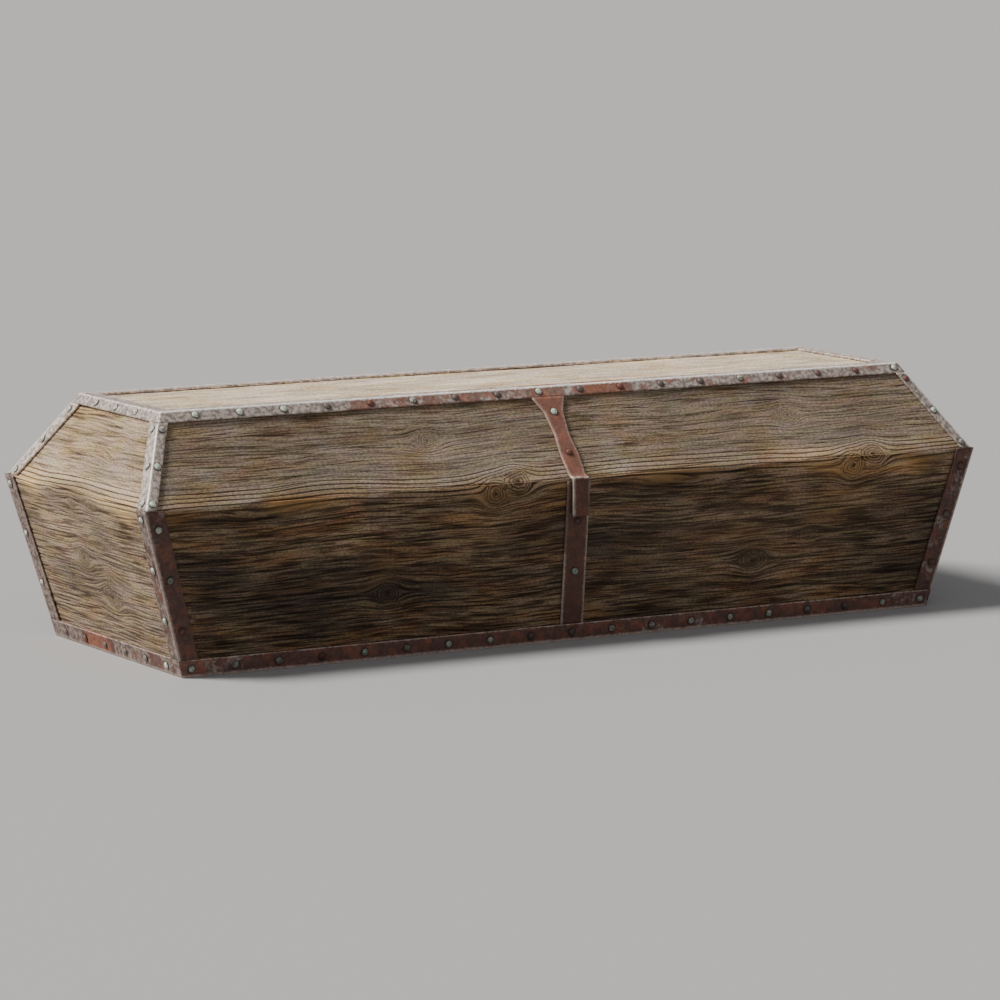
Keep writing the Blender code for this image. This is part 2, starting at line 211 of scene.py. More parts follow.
class Wiring:
    """Adds nodes to one tree. Each method joins its inputs and returns the new output."""

    def __init__(self, tree):
        self.tree = tree

    def add(self, kind, inputs, output=0, **settings):
        made = self.tree.nodes.new(kind)
        column, row = divmod(len(self.tree.nodes), NODES_IN_COLUMN)
        made.location = (column * NODE_STEP, -row * NODE_STEP)
        for name, value in settings.items():
            setattr(made, name, value)
        for key, value in inputs.items():
            if isinstance(value, bpy.types.NodeSocket):
                self.tree.links.new(value, made.inputs[key])
            else:
                made.inputs[key].default_value = value
        return made.outputs[output] if made.outputs else made

    def math(self, operation, first, second=0.0, third=0.0):
        return self.add("ShaderNodeMath", {0: first, 1: second, 2: third}, operation=operation)

    def plus(self, first, second):
        return self.math("ADD", first, second)

    def minus(self, first, second):
        return self.math("SUBTRACT", first, second)

    def times(self, first, second):
        return self.math("MULTIPLY", first, second)

    def times_plus(self, first, second, third):
        return self.math("MULTIPLY_ADD", first, second, third)

    def ripple(self, value):
        """Even waves between 0 and 1, one for each half turn."""
        return self.math("ABSOLUTE", self.math("SINE", value))

    def scale(self, vector, factor):
        return self.add("ShaderNodeVectorMath", {0: vector, "Scale": factor}, operation="SCALE")

    def length(self, vector):
        return self.add("ShaderNodeVectorMath", {0: vector}, 1, operation="LENGTH")

    def smooth(self, value, low, high, to_low=0.0, to_high=1.0):
        """A smooth step from one level to another."""
        inputs = {"Value": value, "From Min": low, "From Max": high, "To Min": to_low, "To Max": to_high}
        return self.add("ShaderNodeMapRange", inputs, interpolation_type="SMOOTHSTEP")

    def noise(self, place, per_metre, detail, seed, dimensions="3D"):
        """Noise with its own number of waves per metre along each axis."""
        shifted = {0: place, 1: per_metre, 2: (seed, seed * 1.7, 0)}
        place = self.add("ShaderNodeVectorMath", shifted, operation="MULTIPLY_ADD")
        inputs = {"Vector": place, "Scale": 1.0, "Detail": detail}
        return self.add("ShaderNodeTexNoise", inputs, noise_dimensions=dimensions)

    def blend(self, factor, first, second):
        """A number that goes from the first to the second."""
        return self.add("ShaderNodeMix", {0: factor, 2: first, 3: second}, 0, data_type="FLOAT")

    def mix(self, factor, first, second, blend="MIX"):
        """A colour that goes from the first to the second."""
        inputs = {0: factor, 6: first, 7: second}
        return self.add("ShaderNodeMix", inputs, 2, data_type="RGBA", blend_type=blend)

    def part(self, vector, axis):
        return self.add("ShaderNodeSeparateXYZ", {0: vector}, axis)


def new_group(name, kind, inputs, outputs):
    """A node tree with named sockets, its wiring, and the sockets that its inputs arrive on."""
    tree = bpy.data.node_groups.new(name, kind)
    for socket_name, socket_kind in inputs.items():
        tree.interface.new_socket(name=socket_name, in_out="INPUT", socket_type="NodeSocket" + socket_kind)
    for socket_name, socket_kind in outputs.items():
        tree.interface.new_socket(name=socket_name, in_out="OUTPUT", socket_type="NodeSocket" + socket_kind)
    return Wiring(tree), tree.nodes.new("NodeGroupInput").outputs

# %% [markdown]
# ## The grain
# Old softwood weathers unevenly: the hard rings stay as ridges, the soft wood between them wears
# down, and drying opens short cracks along the grain. Noise that is stretched along the board gives
# both. The pattern reads a place made of the way along the board and the way across the grain, so
# where the grain bends round a knot only that place has to bend. Along the rim, broad even ridges
# run in place of the noise. A knot has rings of its own, and the place's third number says how
# plainly they show.

# %% Grain pattern
RIM_RING_PITCH = 0.0105
CRACK_PITCH = 0.009
KNOT_RINGS = 4.0
BROAD_SHARE, FINE_SHARE = 0.35, 0.65
RIM_RING_SHARE, RIM_FINE_SHARE = 0.85, 0.15
RIM_WAVERING = 1.6
CRACK_BENDING = 9.0
KNOT_RAGGEDNESS = 0.3
# Noises: waves per metre along and across the board, detail, seed, and how many dimensions.
BROAD_NOISE = ((3.5, 80, 0), 3, 3.1, "2D")
FINE_NOISE = ((11, 240, 0), 2, 11.7, "2D")
WAVER_NOISE = ((7, 30, 0), 1, 5.3, "2D")
KNOT_NOISE = ((50, 90, 0), 1, 7.7, "2D")
BEND_NOISE = ((3, 26, 0), 2, 23.9, "2D")
CRACKED_NOISE = ((8, 130, 0), 1, 31.1, "2D")


def grain(wiring, place, knot, band):
    """The height of the wood, from 0 in a groove to 1 on a ridge, and how much it is cracked."""
    broad = wiring.smooth(wiring.noise(place, *BROAD_NOISE), 0.30, 0.60)
    fine = wiring.smooth(wiring.noise(place, *FINE_NOISE), 0.32, 0.60)
    wood = wiring.times_plus(broad, BROAD_SHARE, wiring.times(fine, FINE_SHARE))

    waver = wiring.times(wiring.noise(place, *WAVER_NOISE), RIM_WAVERING)
    across = wiring.part(place, 1)
    turns = wiring.times_plus(across, math.pi / RIM_RING_PITCH, waver)
    rings = wiring.smooth(wiring.ripple(turns), 0.12, 0.68)
    rings = wiring.times_plus(rings, RIM_RING_SHARE, wiring.times(fine, RIM_FINE_SHARE))
    wood = wiring.blend(band, wood, rings)

    ragged = wiring.times_plus(wiring.noise(place, *KNOT_NOISE), KNOT_RAGGEDNESS, knot)
    eye = wiring.ripple(wiring.times(ragged, KNOT_RINGS * math.pi))
    eye = wiring.smooth(eye, 0.15, 0.8, 0.15, 0.78)
    eye = wiring.times(eye, wiring.smooth(knot, 0.12, 0.28))
    inside = wiring.times(wiring.smooth(ragged, 1.0, 1.4, 0.85, 0.0), wiring.part(place, 2))
    wood = wiring.blend(inside, wood, eye)

    bend = wiring.times(wiring.noise(place, *BEND_NOISE), CRACK_BENDING)
    line = wiring.ripple(wiring.times_plus(across, math.pi / CRACK_PITCH, bend))
    crack = wiring.smooth(line, 0.08, 0.34, 1.0, 0.0)
    where = wiring.smooth(wiring.noise(place, *CRACKED_NOISE), 0.50, 0.62)
    where = wiring.times(where, wiring.smooth(knot, 0.9, 1.4))
    return wood, wiring.times(crack, where)


shading, given = new_group(
    "weathered_grain",
    "ShaderNodeTree",
    {"Place": "Vector", "Knot": "Float", "Band": "Float"},
    {"Height": "Float", "Crack": "Float"},
)
height, crack = grain(shading, given["Place"], given["Knot"], given["Band"])
shading.add("NodeGroupOutput", {"Height": height, "Crack": crack})
GRAIN = shading.tree
print("the grain group has", len(GRAIN.nodes), "nodes")

# %% [markdown]
# The relief of a board comes from the same function in a Geometry Nodes tree. It pushes each point
# straight into the coffin, so the surface never leaves the board's own plane outwards. Broad, slow
# hollows are added, because wide boards cup and wear. A tree is made once and given to each board
# with its own values.

# %% Relief tree
HOLLOW_NOISE = ((3, 9, 0), 1, 41.3, "2D")
relief, given = new_group(
    "board_relief",
    "GeometryNodeTree",
    {"Geometry": "Geometry", "Inwards": "Vector", "Grain": "Float", "Crack": "Float", "Hollow": "Float",
     "Material": "Material"},
    {"Geometry": "Geometry"},
)


def named(wiring, name, kind="FLOAT"):
    return wiring.add("GeometryNodeInputNamedAttribute", {"Name": name}, data_type=kind)


def close_tree(wiring, geometry, offset, material):
    """End a tree: move the points, make instances real and set the material."""
    moved = wiring.add("GeometryNodeSetPosition", {"Geometry": geometry, "Offset": offset})
    real = wiring.add("GeometryNodeRealizeInstances", {"Geometry": moved})
    finished = wiring.add("GeometryNodeSetMaterial", {"Geometry": real, "Material": material})
    wiring.add("NodeGroupOutput", {"Geometry": finished})
    return wiring.tree


place = named(relief, "grain_place", "FLOAT_VECTOR")
height, crack = grain(relief, place, named(relief, "knot"), named(relief, "band"))
depth = relief.times(relief.minus(1.0, height), given["Grain"])
depth = relief.times_plus(crack, given["Crack"], depth)
hollow = relief.smooth(relief.noise(place, *HOLLOW_NOISE), 0.35, 0.7)
depth = relief.times_plus(hollow, given["Hollow"], depth)
depth = relief.times(depth, named(relief, "free"))
offset = relief.scale(given["Inwards"], depth)
BOARD_RELIEF = close_tree(relief, given["Geometry"], offset, given["Material"])
print("the relief tree has", len(BOARD_RELIEF.nodes), "nodes")

# %% Making and baking a piece
def bake(piece, tree, values):
    """Run a Geometry Nodes tree on a piece with these inputs, and keep the plain mesh."""
    modifier = piece.modifiers.new("nodes", "NODES")
    modifier.node_group = tree
    for item in tree.interface.items_tree:
        if item.in_out == "INPUT" and item.name in values:
            modifier[item.identifier] = values[item.name]
    graph = bpy.context.evaluated_depsgraph_get()
    mesh = bpy.data.meshes.new_from_object(piece.evaluated_get(graph))
    piece.modifiers.clear()
    piece.data = mesh
    mesh.name = piece.name


def add_piece(name, points, polygons):
    mesh = bpy.data.meshes.new(name)
    mesh.from_pydata(points, [], polygons)
    piece = bpy.data.objects.new(name, mesh)
    bpy.context.scene.collection.objects.link(piece)
    return piece


def store(piece, name, values):
    """Keep a number or a vector for each point of a piece, for its nodes to read."""
    values = np.asarray(values, dtype=np.float32)
    kind, field = ("FLOAT_VECTOR", "vector") if values.ndim == 2 else ("FLOAT", "value")
    piece.data.attributes.new(name, kind, "POINT").data.foreach_set(field, values.ravel())

# %% [markdown]
# ## Where the wood is marked
# On the front the same figure runs twice, one length after the other: a pair of ringed knots at
# the rim, a knot on the lid, and dark knots low on the box. Each mark is an oval with a place and
# a half size in metres, along the wall and above the rim. Stains are ovals too, and many of them
# come only once. The other walls have marks of their own, plainer where the photograph doesn't
# look.

# %% Knots
FIGURE_LENGTH = 0.887
FIGURE_TURNS = (-2, -1, 0, 1)
Oval = namedtuple("Oval", "along above half_along half_across strength", defaults=[1.0])
# Each row is an oval. Its strength is left out where it is 1.
KNOTS = {
    "front": [
        (0.569, 0.115, 0.026, 0.020, 0.9), (0.745, 0.002, 0.030, 0.026), (0.691, -0.020, 0.027, 0.025),
        (0.447, -0.211, 0.032, 0.022, 0.8), (0.390, -0.136, 0.018, 0.011, 0.4),
        (0.582, -0.169, 0.026, 0.015, 0.4),
    ],
    "back": [(0.51, 0.092, 0.030, 0.020), (0.30, -0.18, 0.036, 0.024), (0.72, -0.09, 0.026, 0.018)],
    "left": [
        (-0.077, 0.107, 0.022, 0.020, 0.5), (-0.045, -0.224, 0.034, 0.024, 0.85),
        (-0.060, -0.184, 0.020, 0.015, 0.8), (0.046, -0.150, 0.026, 0.020, 0.8),
        (0.132, -0.018, 0.020, 0.010, 0.7), (0.033, -0.027, 0.020, 0.010, 0.7),
        (-0.060, -0.024, 0.020, 0.010, 0.7),
    ],
    "right": [(0.09, 0.10, 0.020, 0.016), (-0.08, -0.16, 0.028, 0.020)],
    "top": [(-0.42, 0.07, 0.034, 0.018), (0.38, -0.05, 0.030, 0.016)],
    "bottom": [],
}
print("walls with knots:", ", ".join(side for side, rows in KNOTS.items() if rows))

# %% Stains
STAINS = {
    "amber": {
        "front": [
            (0.680, -0.028, 0.060, 0.020), (0.20, -0.012, 0.050, 0.020), (0.27, -0.006, 0.060, 0.022),
            (-0.03, -0.022, 0.050, 0.030), (0.42, -0.150, 0.060, 0.030, 0.5),
            (0.66, -0.100, 0.090, 0.040, 0.5),
        ],
        "front_once": [(0.570, 0.018, 0.100, 0.022, 0.6), (0.620, -0.020, 0.080, 0.018, 0.8)],
        "left": [
            (0.224, -0.013, 0.050, 0.022), (-0.215, -0.018, 0.080, 0.024),
            (0.00, 0.005, 0.20, 0.025, 0.5), (0.10, 0.15, 0.10, 0.05, 0.6),
            (-0.077, 0.107, 0.022, 0.028, 0.8),
        ],
        "back": [(0.30, -0.02, 0.12, 0.03)],
        "right": [(0.10, -0.02, 0.09, 0.025)],
    },
    "dark": {
        "front": [
            (0.13, -0.030, 0.070, 0.016, 0.6), (0.05, -0.150, 0.060, 0.040),
            (0.62, 0.080, 0.260, 0.060, -0.35), (0.745, 0.012, 0.030, 0.022, 0.35),
        ],
        "front_once": [
            (0.580, 0.018, 0.085, 0.018, -1.6), (0.156, 0.124, 0.090, 0.030, -0.7),
            (0.164, 0.068, 0.090, 0.020, -0.6), (0.100, 0.010, 0.060, 0.020, -0.4),
            (-0.088, 0.044, 0.070, 0.020, -0.7), (-0.112, 0.000, 0.060, 0.015, -0.5),
            (-0.600, 0.020, 0.120, 0.016, 0.4), (0.628, -0.016, 0.080, 0.018, -0.9),
            (0.770, -0.040, 0.120, 0.040, -2.0), (0.560, -0.064, 0.070, 0.020, -0.6),
            (0.232, -0.040, 0.080, 0.020, 0.9), (0.420, -0.095, 0.150, 0.032, -0.8),
            (0.300, -0.190, 0.120, 0.040, -0.7), (0.590, -0.235, 0.100, 0.070, -1.2),
            (0.350, -0.275, 0.100, 0.020, -0.6), (0.850, -0.250, 0.120, 0.055, 0.9),
            (0.447, -0.208, 0.060, 0.028, 0.6), (0.788, -0.120, 0.060, 0.020, 0.6),
            (0.916, -0.180, 0.060, 0.026, 1.3), (0.180, -0.196, 0.080, 0.018, 0.8),
            (0.108, -0.160, 0.060, 0.020, 0.5), (-0.136, -0.192, 0.070, 0.025, 0.9),
            (-0.304, -0.220, 0.100, 0.020, 0.8), (-0.440, -0.205, 0.090, 0.035),
            (-0.580, -0.268, 0.120, 0.030, 0.9), (-0.687, -0.180, 0.240, 0.080, 0.7),
            (-0.644, -0.209, 0.080, 0.040), (-0.560, -0.080, 0.120, 0.045, -0.9),
            (-0.360, -0.280, 0.140, 0.022, -1.1), (-0.097, -0.115, 0.110, 0.045, 0.5),
            (-0.240, -0.070, 0.090, 0.027, -1.1), (-0.220, -0.012, 0.060, 0.022, -0.5),
            (-0.236, -0.152, 0.060, 0.016, 0.6), (-0.600, -0.050, 0.060, 0.018, -0.5),
            (-0.700, -0.020, 0.100, 0.016, -0.5),
        ],
        "left": [
            (-0.045, -0.224, 0.030, 0.026, 0.35), (0.046, -0.150, 0.026, 0.022, 0.35),
            (0.000, 0.012, 0.200, 0.018, 0.75), (-0.220, -0.018, 0.070, 0.024, -0.9),
            (0.220, -0.010, 0.060, 0.020, -0.6), (0.110, -0.100, 0.100, 0.035, -0.6),
            (0.000, -0.275, 0.120, 0.020, -0.3),
        ],
        "back": [(0.36, -0.18, 0.13, 0.05)],
        "right": [(-0.08, -0.16, 0.10, 0.05)],
    },
    "dusty": {
        "front": [
            (0.31, 0.055, 0.060, 0.030), (0.68, 0.080, 0.150, 0.050), (-0.06, 0.130, 0.080, 0.040),
            (0.42, 0.080, 0.060, 0.050), (0.63, 0.045, 0.070, 0.022),
        ],
        "front_once": [
            (0.200, -0.150, 0.220, 0.120), (0.550, -0.160, 0.200, 0.110, 0.9),
            (0.820, -0.100, 0.100, 0.080, 0.7),
        ],
        "left": [(-0.12, 0.06, 0.12, 0.06), (0.0, -0.16, 0.20, 0.10, 0.5)],
    },
}
print("kinds of stain:", ", ".join(STAINS))

# %% Ovals on a wall
CLEANEST = -2.0
STAIN_FALL = 1.2


def repeats(side, rows):
    """The ovals of a wall. On the long walls they come again one figure length on."""
    ovals = [Oval(*row) for row in rows]
    if side not in ("front", "back"):
        return ovals
    moved = [(oval, oval.along + turn * FIGURE_LENGTH) for oval in ovals for turn in FIGURE_TURNS]
    return [oval._replace(along=along) for oval, along in moved]


def oval_distance(oval, along, above):
    """0 in the middle of an oval, 1 on its edge."""
    return np.hypot((along - oval.along) / oval.half_along, (above - oval.above) / oval.half_across)


def stain(kind, side, along, above):
    """How strongly a wall is stained, up to 1, with soft edges. Below 0 it is cleaner than the rest."""
    total = np.zeros(len(along))
    once = [Oval(*row) for row in STAINS[kind].get(side + "_once", [])]
    for oval in repeats(side, STAINS[kind].get(side, [])) + once:
        total += oval.strength * np.exp(-(oval_distance(oval, along, above) ** 2) * STAIN_FALL)
    return np.clip(total, CLEANEST, 1)


print("knots in all:", sum(len(repeats(side, rows)) for side, rows in KNOTS.items()))

# %% [markdown]
# ## How the grain bends
# Grain flows round a knot as water flows round a post, so the way across the grain is bent by the
# same formula that gives the lines of such a flow. A few long waves, seeded for each wall, keep
# the lines from running dead straight. Where the saw ran along a ring, the figure widens into a
# long lens. Near the rim of the front the ridges rise in one long hump.

# %% Bent grain
WAVES = 5
WAVE_SIZE = 0.0032
WAVE_SIZE_SHARES = (0.3, 1.0)
WAVES_PER_METRE = (0.6, 4.0)
WAVE_SLANTS = (-2.5, 2.5)
HUMP = Oval(0.28, 0.03, 0.13, 0.035)
HUMP_RISE = 0.010
LENSES = {
    "front": [(0.180, -0.018, 0.200, 0.018, 0.75), (0.33, 0.150, 0.180, 0.025, 0.5)],
    "back": [(0.10, -0.10, 0.220, 0.030, 0.7)],
    "top": [(0.05, 0.02, 0.350, 0.040, 0.7)],
    "right": [(0.0, -0.12, 0.160, 0.030, 0.6)],
}
FLOW_REACH = 1.3
WALL_SEEDS = {"front": 3, "back": 8, "left": 14, "right": 21, "top": 27, "bottom": 33}
NO_KNOT = 9.0
GRAIN_SLANTS = {"left": -0.01, "right": -0.03}
END_WAVES = 0.5
RING_LOBES = ((2, 0.10), (3, 0.08), (7, 0.03))


def ring_wobble(oval, along, above, chance):
    """How far a knot's rings stray from even ovals, as a share, with a few lobes round the knot."""
    round_knot = np.arctan2((above - oval.above) / oval.half_across, (along - oval.along) / oval.half_along)
    wobble = np.zeros(len(along))
    for lobes, size in RING_LOBES:
        wobble += size * np.sin(lobes * round_knot + chance.uniform(0, math.tau))
    return wobble


def bent_grain(side, along, above):
    """The way across the grain at each place, how near the closest knot is and how plain it is."""
    chance = np.random.default_rng(WALL_SEEDS[side])
    across = above - GRAIN_SLANTS.get(side, 0) * along
    wave_size = WAVE_SIZE * (END_WAVES if side in ENDS else 1.0)
    for _ in range(WAVES):
        per_metre, slant = chance.uniform(*WAVES_PER_METRE), chance.uniform(*WAVE_SLANTS)
        turn = chance.uniform(0, math.tau)
        size = wave_size * chance.uniform(*WAVE_SIZE_SHARES) / math.sqrt(per_metre)
        across += size * np.sin(math.tau * (per_metre * along + slant * above) + turn)
    if side == "front":
        for hump in repeats(side, [HUMP]):
            across -= HUMP_RISE * np.exp(-(oval_distance(hump, along, above) ** 2))
    for lens in repeats(side, LENSES.get(side, [])):
        widened = np.exp(-(oval_distance(lens, along, above) ** 2))
        across -= lens.strength * (above - lens.above) * widened
    knot, plain = np.full(len(along), NO_KNOT), np.zeros(len(along))
    for oval in repeats(side, KNOTS[side]):
        near = oval_distance(oval, along, above)
        fall = oval.strength * np.exp(-(np.maximum(near - 1, 0) / FLOW_REACH) ** 2)
        across -= (above - oval.above) * fall / np.maximum(near, 1) ** 2
        ring = near * (1 + ring_wobble(oval, along, above, chance))
        plain = np.where(ring < knot, oval.strength, plain)
        knot = np.minimum(knot, ring)
    return across, knot, plain


print("lenses:", sum(len(repeats(side, rows)) for side, rows in LENSES.items()))

# %% [markdown]
# ## The worn rim
# Where the lid meets the box, both arrises are worn, in places up to 9 mm high. The light wood
# above and the dark wood below don't meet at the joint itself: the line between them wanders. It
# is drawn by a few points for one length of the figure, each the way along and the height.

# %% Rim line
RIM_LINE_START = -0.98
RIM_LINE = (
    (0.000, -0.001), (0.140, -0.009), (0.190, -0.003), (0.270, 0.006), (0.330, 0.006), (0.500, -0.008),
    (0.540, 0.000), (0.600, -0.004), (0.690, 0.003), (0.750, 0.005), (0.820, 0.000), (0.887, -0.001),
)
RIM_LINE_SHIFTS = {"front": 0.0, "back": 0.4, "left": 0.15, "right": 0.6}
RIM_WEAR = 0.0028
RIM_WEAR_LEAST = 0.0025
WEAR_CURVE = 1.5
FULL_WEAR_REACH = 0.006
SHALLOW_WEAR = 0.3
LINE_SOFTNESS = 0.0025


def rim_line(side, along):
    """How far above the joint the light wood starts."""
    places, heights = np.array(RIM_LINE).T
    turn = (along - RIM_LINE_START + RIM_LINE_SHIFTS[side]) % FIGURE_LENGTH
    return np.interp(turn, places, heights)


def rim_wear(side, part_name, along, above):
    """How far the arris at the rim is worn back, level into the coffin."""
    line = rim_line(side, along)
    reach = np.maximum(line if part_name == "lid" else -line, 0) + RIM_WEAR_LEAST
    share = np.clip(1 - np.abs(above) / reach, 0, 1)
    return RIM_WEAR * share**WEAR_CURVE * np.clip(reach / FULL_WEAR_REACH, SHALLOW_WEAR, 1.0)


line_heights = [height for _, height in RIM_LINE]
print("the rim line wanders from", min(line_heights), "to", max(line_heights))

# %% [markdown]
# ## Materials for the wood
# The colour follows the relief: dark in the grooves, pale on the ridges. Slow noise along the
# grain makes some stretches darker and some warmer, fine dust lies in patches, and stains are laid
# over all. A board near the rim can show the colours of both lid and box, so each wood material
# holds two sets of tones, and the wandering rim line chooses between them. The tone sets are also
# partly painted light and shade, set after how the light falls on each wall: palest on the top,
# then the lid's ends, and darkest on the box's front.

# %% Tones and wood groups
Tones = namedtuple("Tones", "groove body ridge warm dust dustiness patchiness")


def tone(red, green, blue):
    """A colour written as the eye reads it on a screen, 0 to 255, turned into light."""
    shares = [value / 255 for value in (red, green, blue)]
    light = [share / 12.92 if share <= 0.04045 else ((share + 0.055) / 1.055) ** 2.4 for share in shares]
    return (*light, 1.0)


def shader_tree(name):
    """A new material with its wiring and its Principled shader."""
    material = bpy.data.materials.new(name)
    material.use_nodes = True
    return material, Wiring(material.node_tree), material.node_tree.nodes["Principled BSDF"]


def attribute(wiring, name, output=2):
    return wiring.add("ShaderNodeAttribute", {}, output, attribute_name=name)


def joined(wiring, shader, sockets):
    for name, socket in sockets.items():
        wiring.tree.links.new(socket, shader.inputs[name])


shading, given = new_group(
    "wood_tones",
    "ShaderNodeTree",
    {"Height": "Float", "Warmth": "Float", "Dust": "Float", "Groove": "Color", "Body": "Color",
     "Ridge": "Color", "Warm": "Color", "Dusty": "Color"},
    {"Colour": "Color"},
)
low = shading.mix(shading.smooth(given["Height"], 0.0, 0.5), given["Groove"], given["Body"])
high = shading.mix(shading.smooth(given["Height"], 0.5, 0.95), low, given["Ridge"])
warmed = shading.mix(given["Warmth"], high, shading.mix(1.0, high, given["Warm"], "MULTIPLY"))
dusted = shading.mix(given["Dust"], warmed, given["Dusty"])
shading.add("NodeGroupOutput", {"Colour": dusted})
WOOD_TONES = shading.tree

OLIVE = (0.98, 1.015, 0.88, 1)
PURPLISH = (1.025, 0.975, 1.03, 1)
SPECKLE = (0.76, 1.24)
SHADE_NOISE = ((4, 20, 0), 4, 51.7, "2D")
WARMTH_NOISE = ((6, 26, 0), 3, 61.9, "2D")
CLOUD_NOISE = ((14, 17, 0), 5, 71.1, "2D")
CRUMB_NOISE = ((90, 150, 0), 2, 81.3, "2D")
TINT_NOISE = ((12, 60, 0), 4, 91.9, "2D")
SPECKLE_NOISE = ((150, 260, 0), 1, 99.3, "2D")
shading, given = new_group(
    "wood_patches",
    "ShaderNodeTree",
    {"Place": "Vector"},
    {"Shade": "Float", "Warmth": "Float", "Dust": "Float", "Tint": "Color"},
)
shade = shading.noise(given["Place"], *SHADE_NOISE)
warmth = shading.smooth(shading.noise(given["Place"], *WARMTH_NOISE), 0.42, 0.66)
clouds = shading.noise(given["Place"], *CLOUD_NOISE)
crumbs = shading.noise(given["Place"], *CRUMB_NOISE)
dust = shading.smooth(shading.times_plus(crumbs, 0.4, clouds), 0.66, 0.92)
olive = shading.smooth(shading.noise(given["Place"], *TINT_NOISE), 0.36, 0.64)
tint = shading.mix(olive, PURPLISH, OLIVE)
speckle = shading.smooth(shading.noise(given["Place"], *SPECKLE_NOISE), 0.3, 0.7, *SPECKLE)
tint = shading.scale(tint, speckle)
shading.add("NodeGroupOutput", {"Shade": shade, "Warmth": warmth, "Dust": dust, "Tint": tint})
WOOD_PATCHES = shading.tree
print("shader groups for wood:", WOOD_TONES.name, "and", WOOD_PATCHES.name)

# %% Wood materials
AMBER = (tone(48, 32, 16), tone(128, 94, 50))
PALE_AMBER = (tone(104, 80, 48), tone(190, 160, 108))
WOOD_SHINE = 0.35
# Along the rim the grooves are darkened and the ridges paled further: partly painted shade and highlight.
BAND_LEVELS = (0.7, 1.35)
WOOD_ROUGHNESS = (0.95, 0.72)
DUSTY_STRENGTH = 0.9
AMBER_STRENGTH = 0.6
DARK_STRENGTH = 0.6
UNEVEN_HEIGHT = 0.5
UNEVEN_LEVEL = 2.2


def wood_material(name, upper, lower, ambers, crack_shade, bump):
    """Weathered wood with the lid's tones above the rim line and the box's tones below."""
    material, wiring, shader = shader_tree(name)
    place = attribute(wiring, "grain_place", 1)
    inputs = {"Place": place, "Knot": attribute(wiring, "knot"), "Band": attribute(wiring, "band")}
    height = wiring.add("ShaderNodeGroup", inputs, "Height", node_tree=GRAIN)
    crack = height.node.outputs["Crack"]
    on_wall = attribute(wiring, "wall_place", 1)
    shade = wiring.add("ShaderNodeGroup", {"Place": on_wall}, "Shade", node_tree=WOOD_PATCHES)
    warmth, dust = shade.node.outputs["Warmth"], shade.node.outputs["Dust"]
    stains = attribute(wiring, "stains", 1)
    amber, dark, dusty = (wiring.part(stains, axis) for axis in range(3))
    dust = wiring.math("MAXIMUM", dust, wiring.times(dusty, DUSTY_STRENGTH))
    lit = attribute(wiring, "lit")
    patchiness = wiring.blend(lit, lower.patchiness, upper.patchiness)
    uneven = wiring.times(wiring.minus(shade, 0.5), patchiness)
    patchy = wiring.times_plus(uneven, UNEVEN_HEIGHT, height)
    colours = []
    for tones in (lower, upper):
        inputs = {
            "Height": patchy,
            "Warmth": warmth,
            "Dust": wiring.times(dust, tones.dustiness),
            "Groove": tones.groove,
            "Body": tones.body,
            "Ridge": tones.ridge,
            "Warm": tones.warm,
            "Dusty": tones.dust,
        }
        colours.append(wiring.add("ShaderNodeGroup", inputs, "Colour", node_tree=WOOD_TONES))
    colour = wiring.mix(1.0, wiring.mix(lit, *colours), shade.node.outputs["Tint"], "MULTIPLY")
    colour = wiring.mix(wiring.times(amber, AMBER_STRENGTH), colour, wiring.mix(height, *ambers))
    in_band = wiring.smooth(height, 0.0, 0.8, *BAND_LEVELS)
    level = wiring.times_plus(uneven, UNEVEN_LEVEL, 1.0)
    level = wiring.times(level, wiring.times_plus(dark, -DARK_STRENGTH, 1.0))
    level = wiring.times(level, wiring.blend(attribute(wiring, "band"), 1.0, in_band))
    level = wiring.times(level, wiring.times_plus(crack, crack_shade - 1, 1.0))
    bumps = {"Strength": 1.0, "Distance": bump, "Height": wiring.minus(height, crack)}
    shader.inputs["Specular IOR Level"].default_value = WOOD_SHINE
    joined(wiring, shader, {
        "Base Color": wiring.scale(colour, level),
        "Roughness": wiring.smooth(height, 0.0, 1.0, *WOOD_ROUGHNESS),
        "Normal": wiring.add("ShaderNodeBump", bumps),
    })
    return material


# Painted light and shade: these sets are one wood, made paler or darker after how the light falls on its
# walls.
LID_TONES = Tones(tone(72, 58, 44), tone(110, 95, 79), tone(134, 119, 101), tone(250, 234, 216),
                  tone(140, 132, 123), 0.35, 0.3)
BOX_TONES = Tones(tone(32, 23, 13), tone(71, 54, 37), tone(121, 102, 80), tone(246, 222, 196),
                  tone(72, 60, 49), 0.5, 0.55)
END_LID_TONES = Tones(tone(84, 68, 50), tone(143, 124, 101), tone(178, 159, 135), tone(250, 238, 218),
                      tone(164, 150, 136), 0.5, 0.3)
END_BOX_TONES = Tones(tone(55, 43, 32), tone(112, 94, 77), tone(163, 144, 122), tone(250, 238, 220),
                      tone(134, 121, 108), 0.45, 0.3)
TOP_TONES = Tones(tone(138, 120, 100), tone(204, 185, 162), tone(240, 223, 202), tone(250, 240, 222),
                  tone(214, 202, 188), 0.5, 0.3)
WOODS = {
    "front": wood_material("wood_front", LID_TONES, BOX_TONES, AMBER, 0.32, 0.0004),
    "ends": wood_material("wood_ends", END_LID_TONES, END_BOX_TONES, PALE_AMBER, 0.45, 0.0003),
    "top": wood_material("wood_top", TOP_TONES, TOP_TONES, PALE_AMBER, 0.35, 0.0004),
}
print("wood materials:", ", ".join(WOODS))

# %% [markdown]
# ## The boards
# Each board is one wide plank with a fine grid on its outer face, much finer across the grain
# than along it, because the relief is made of long thin lines. Its back and its mitred edges stay
# as the frame gives them, so the box and the lid stay hollow.

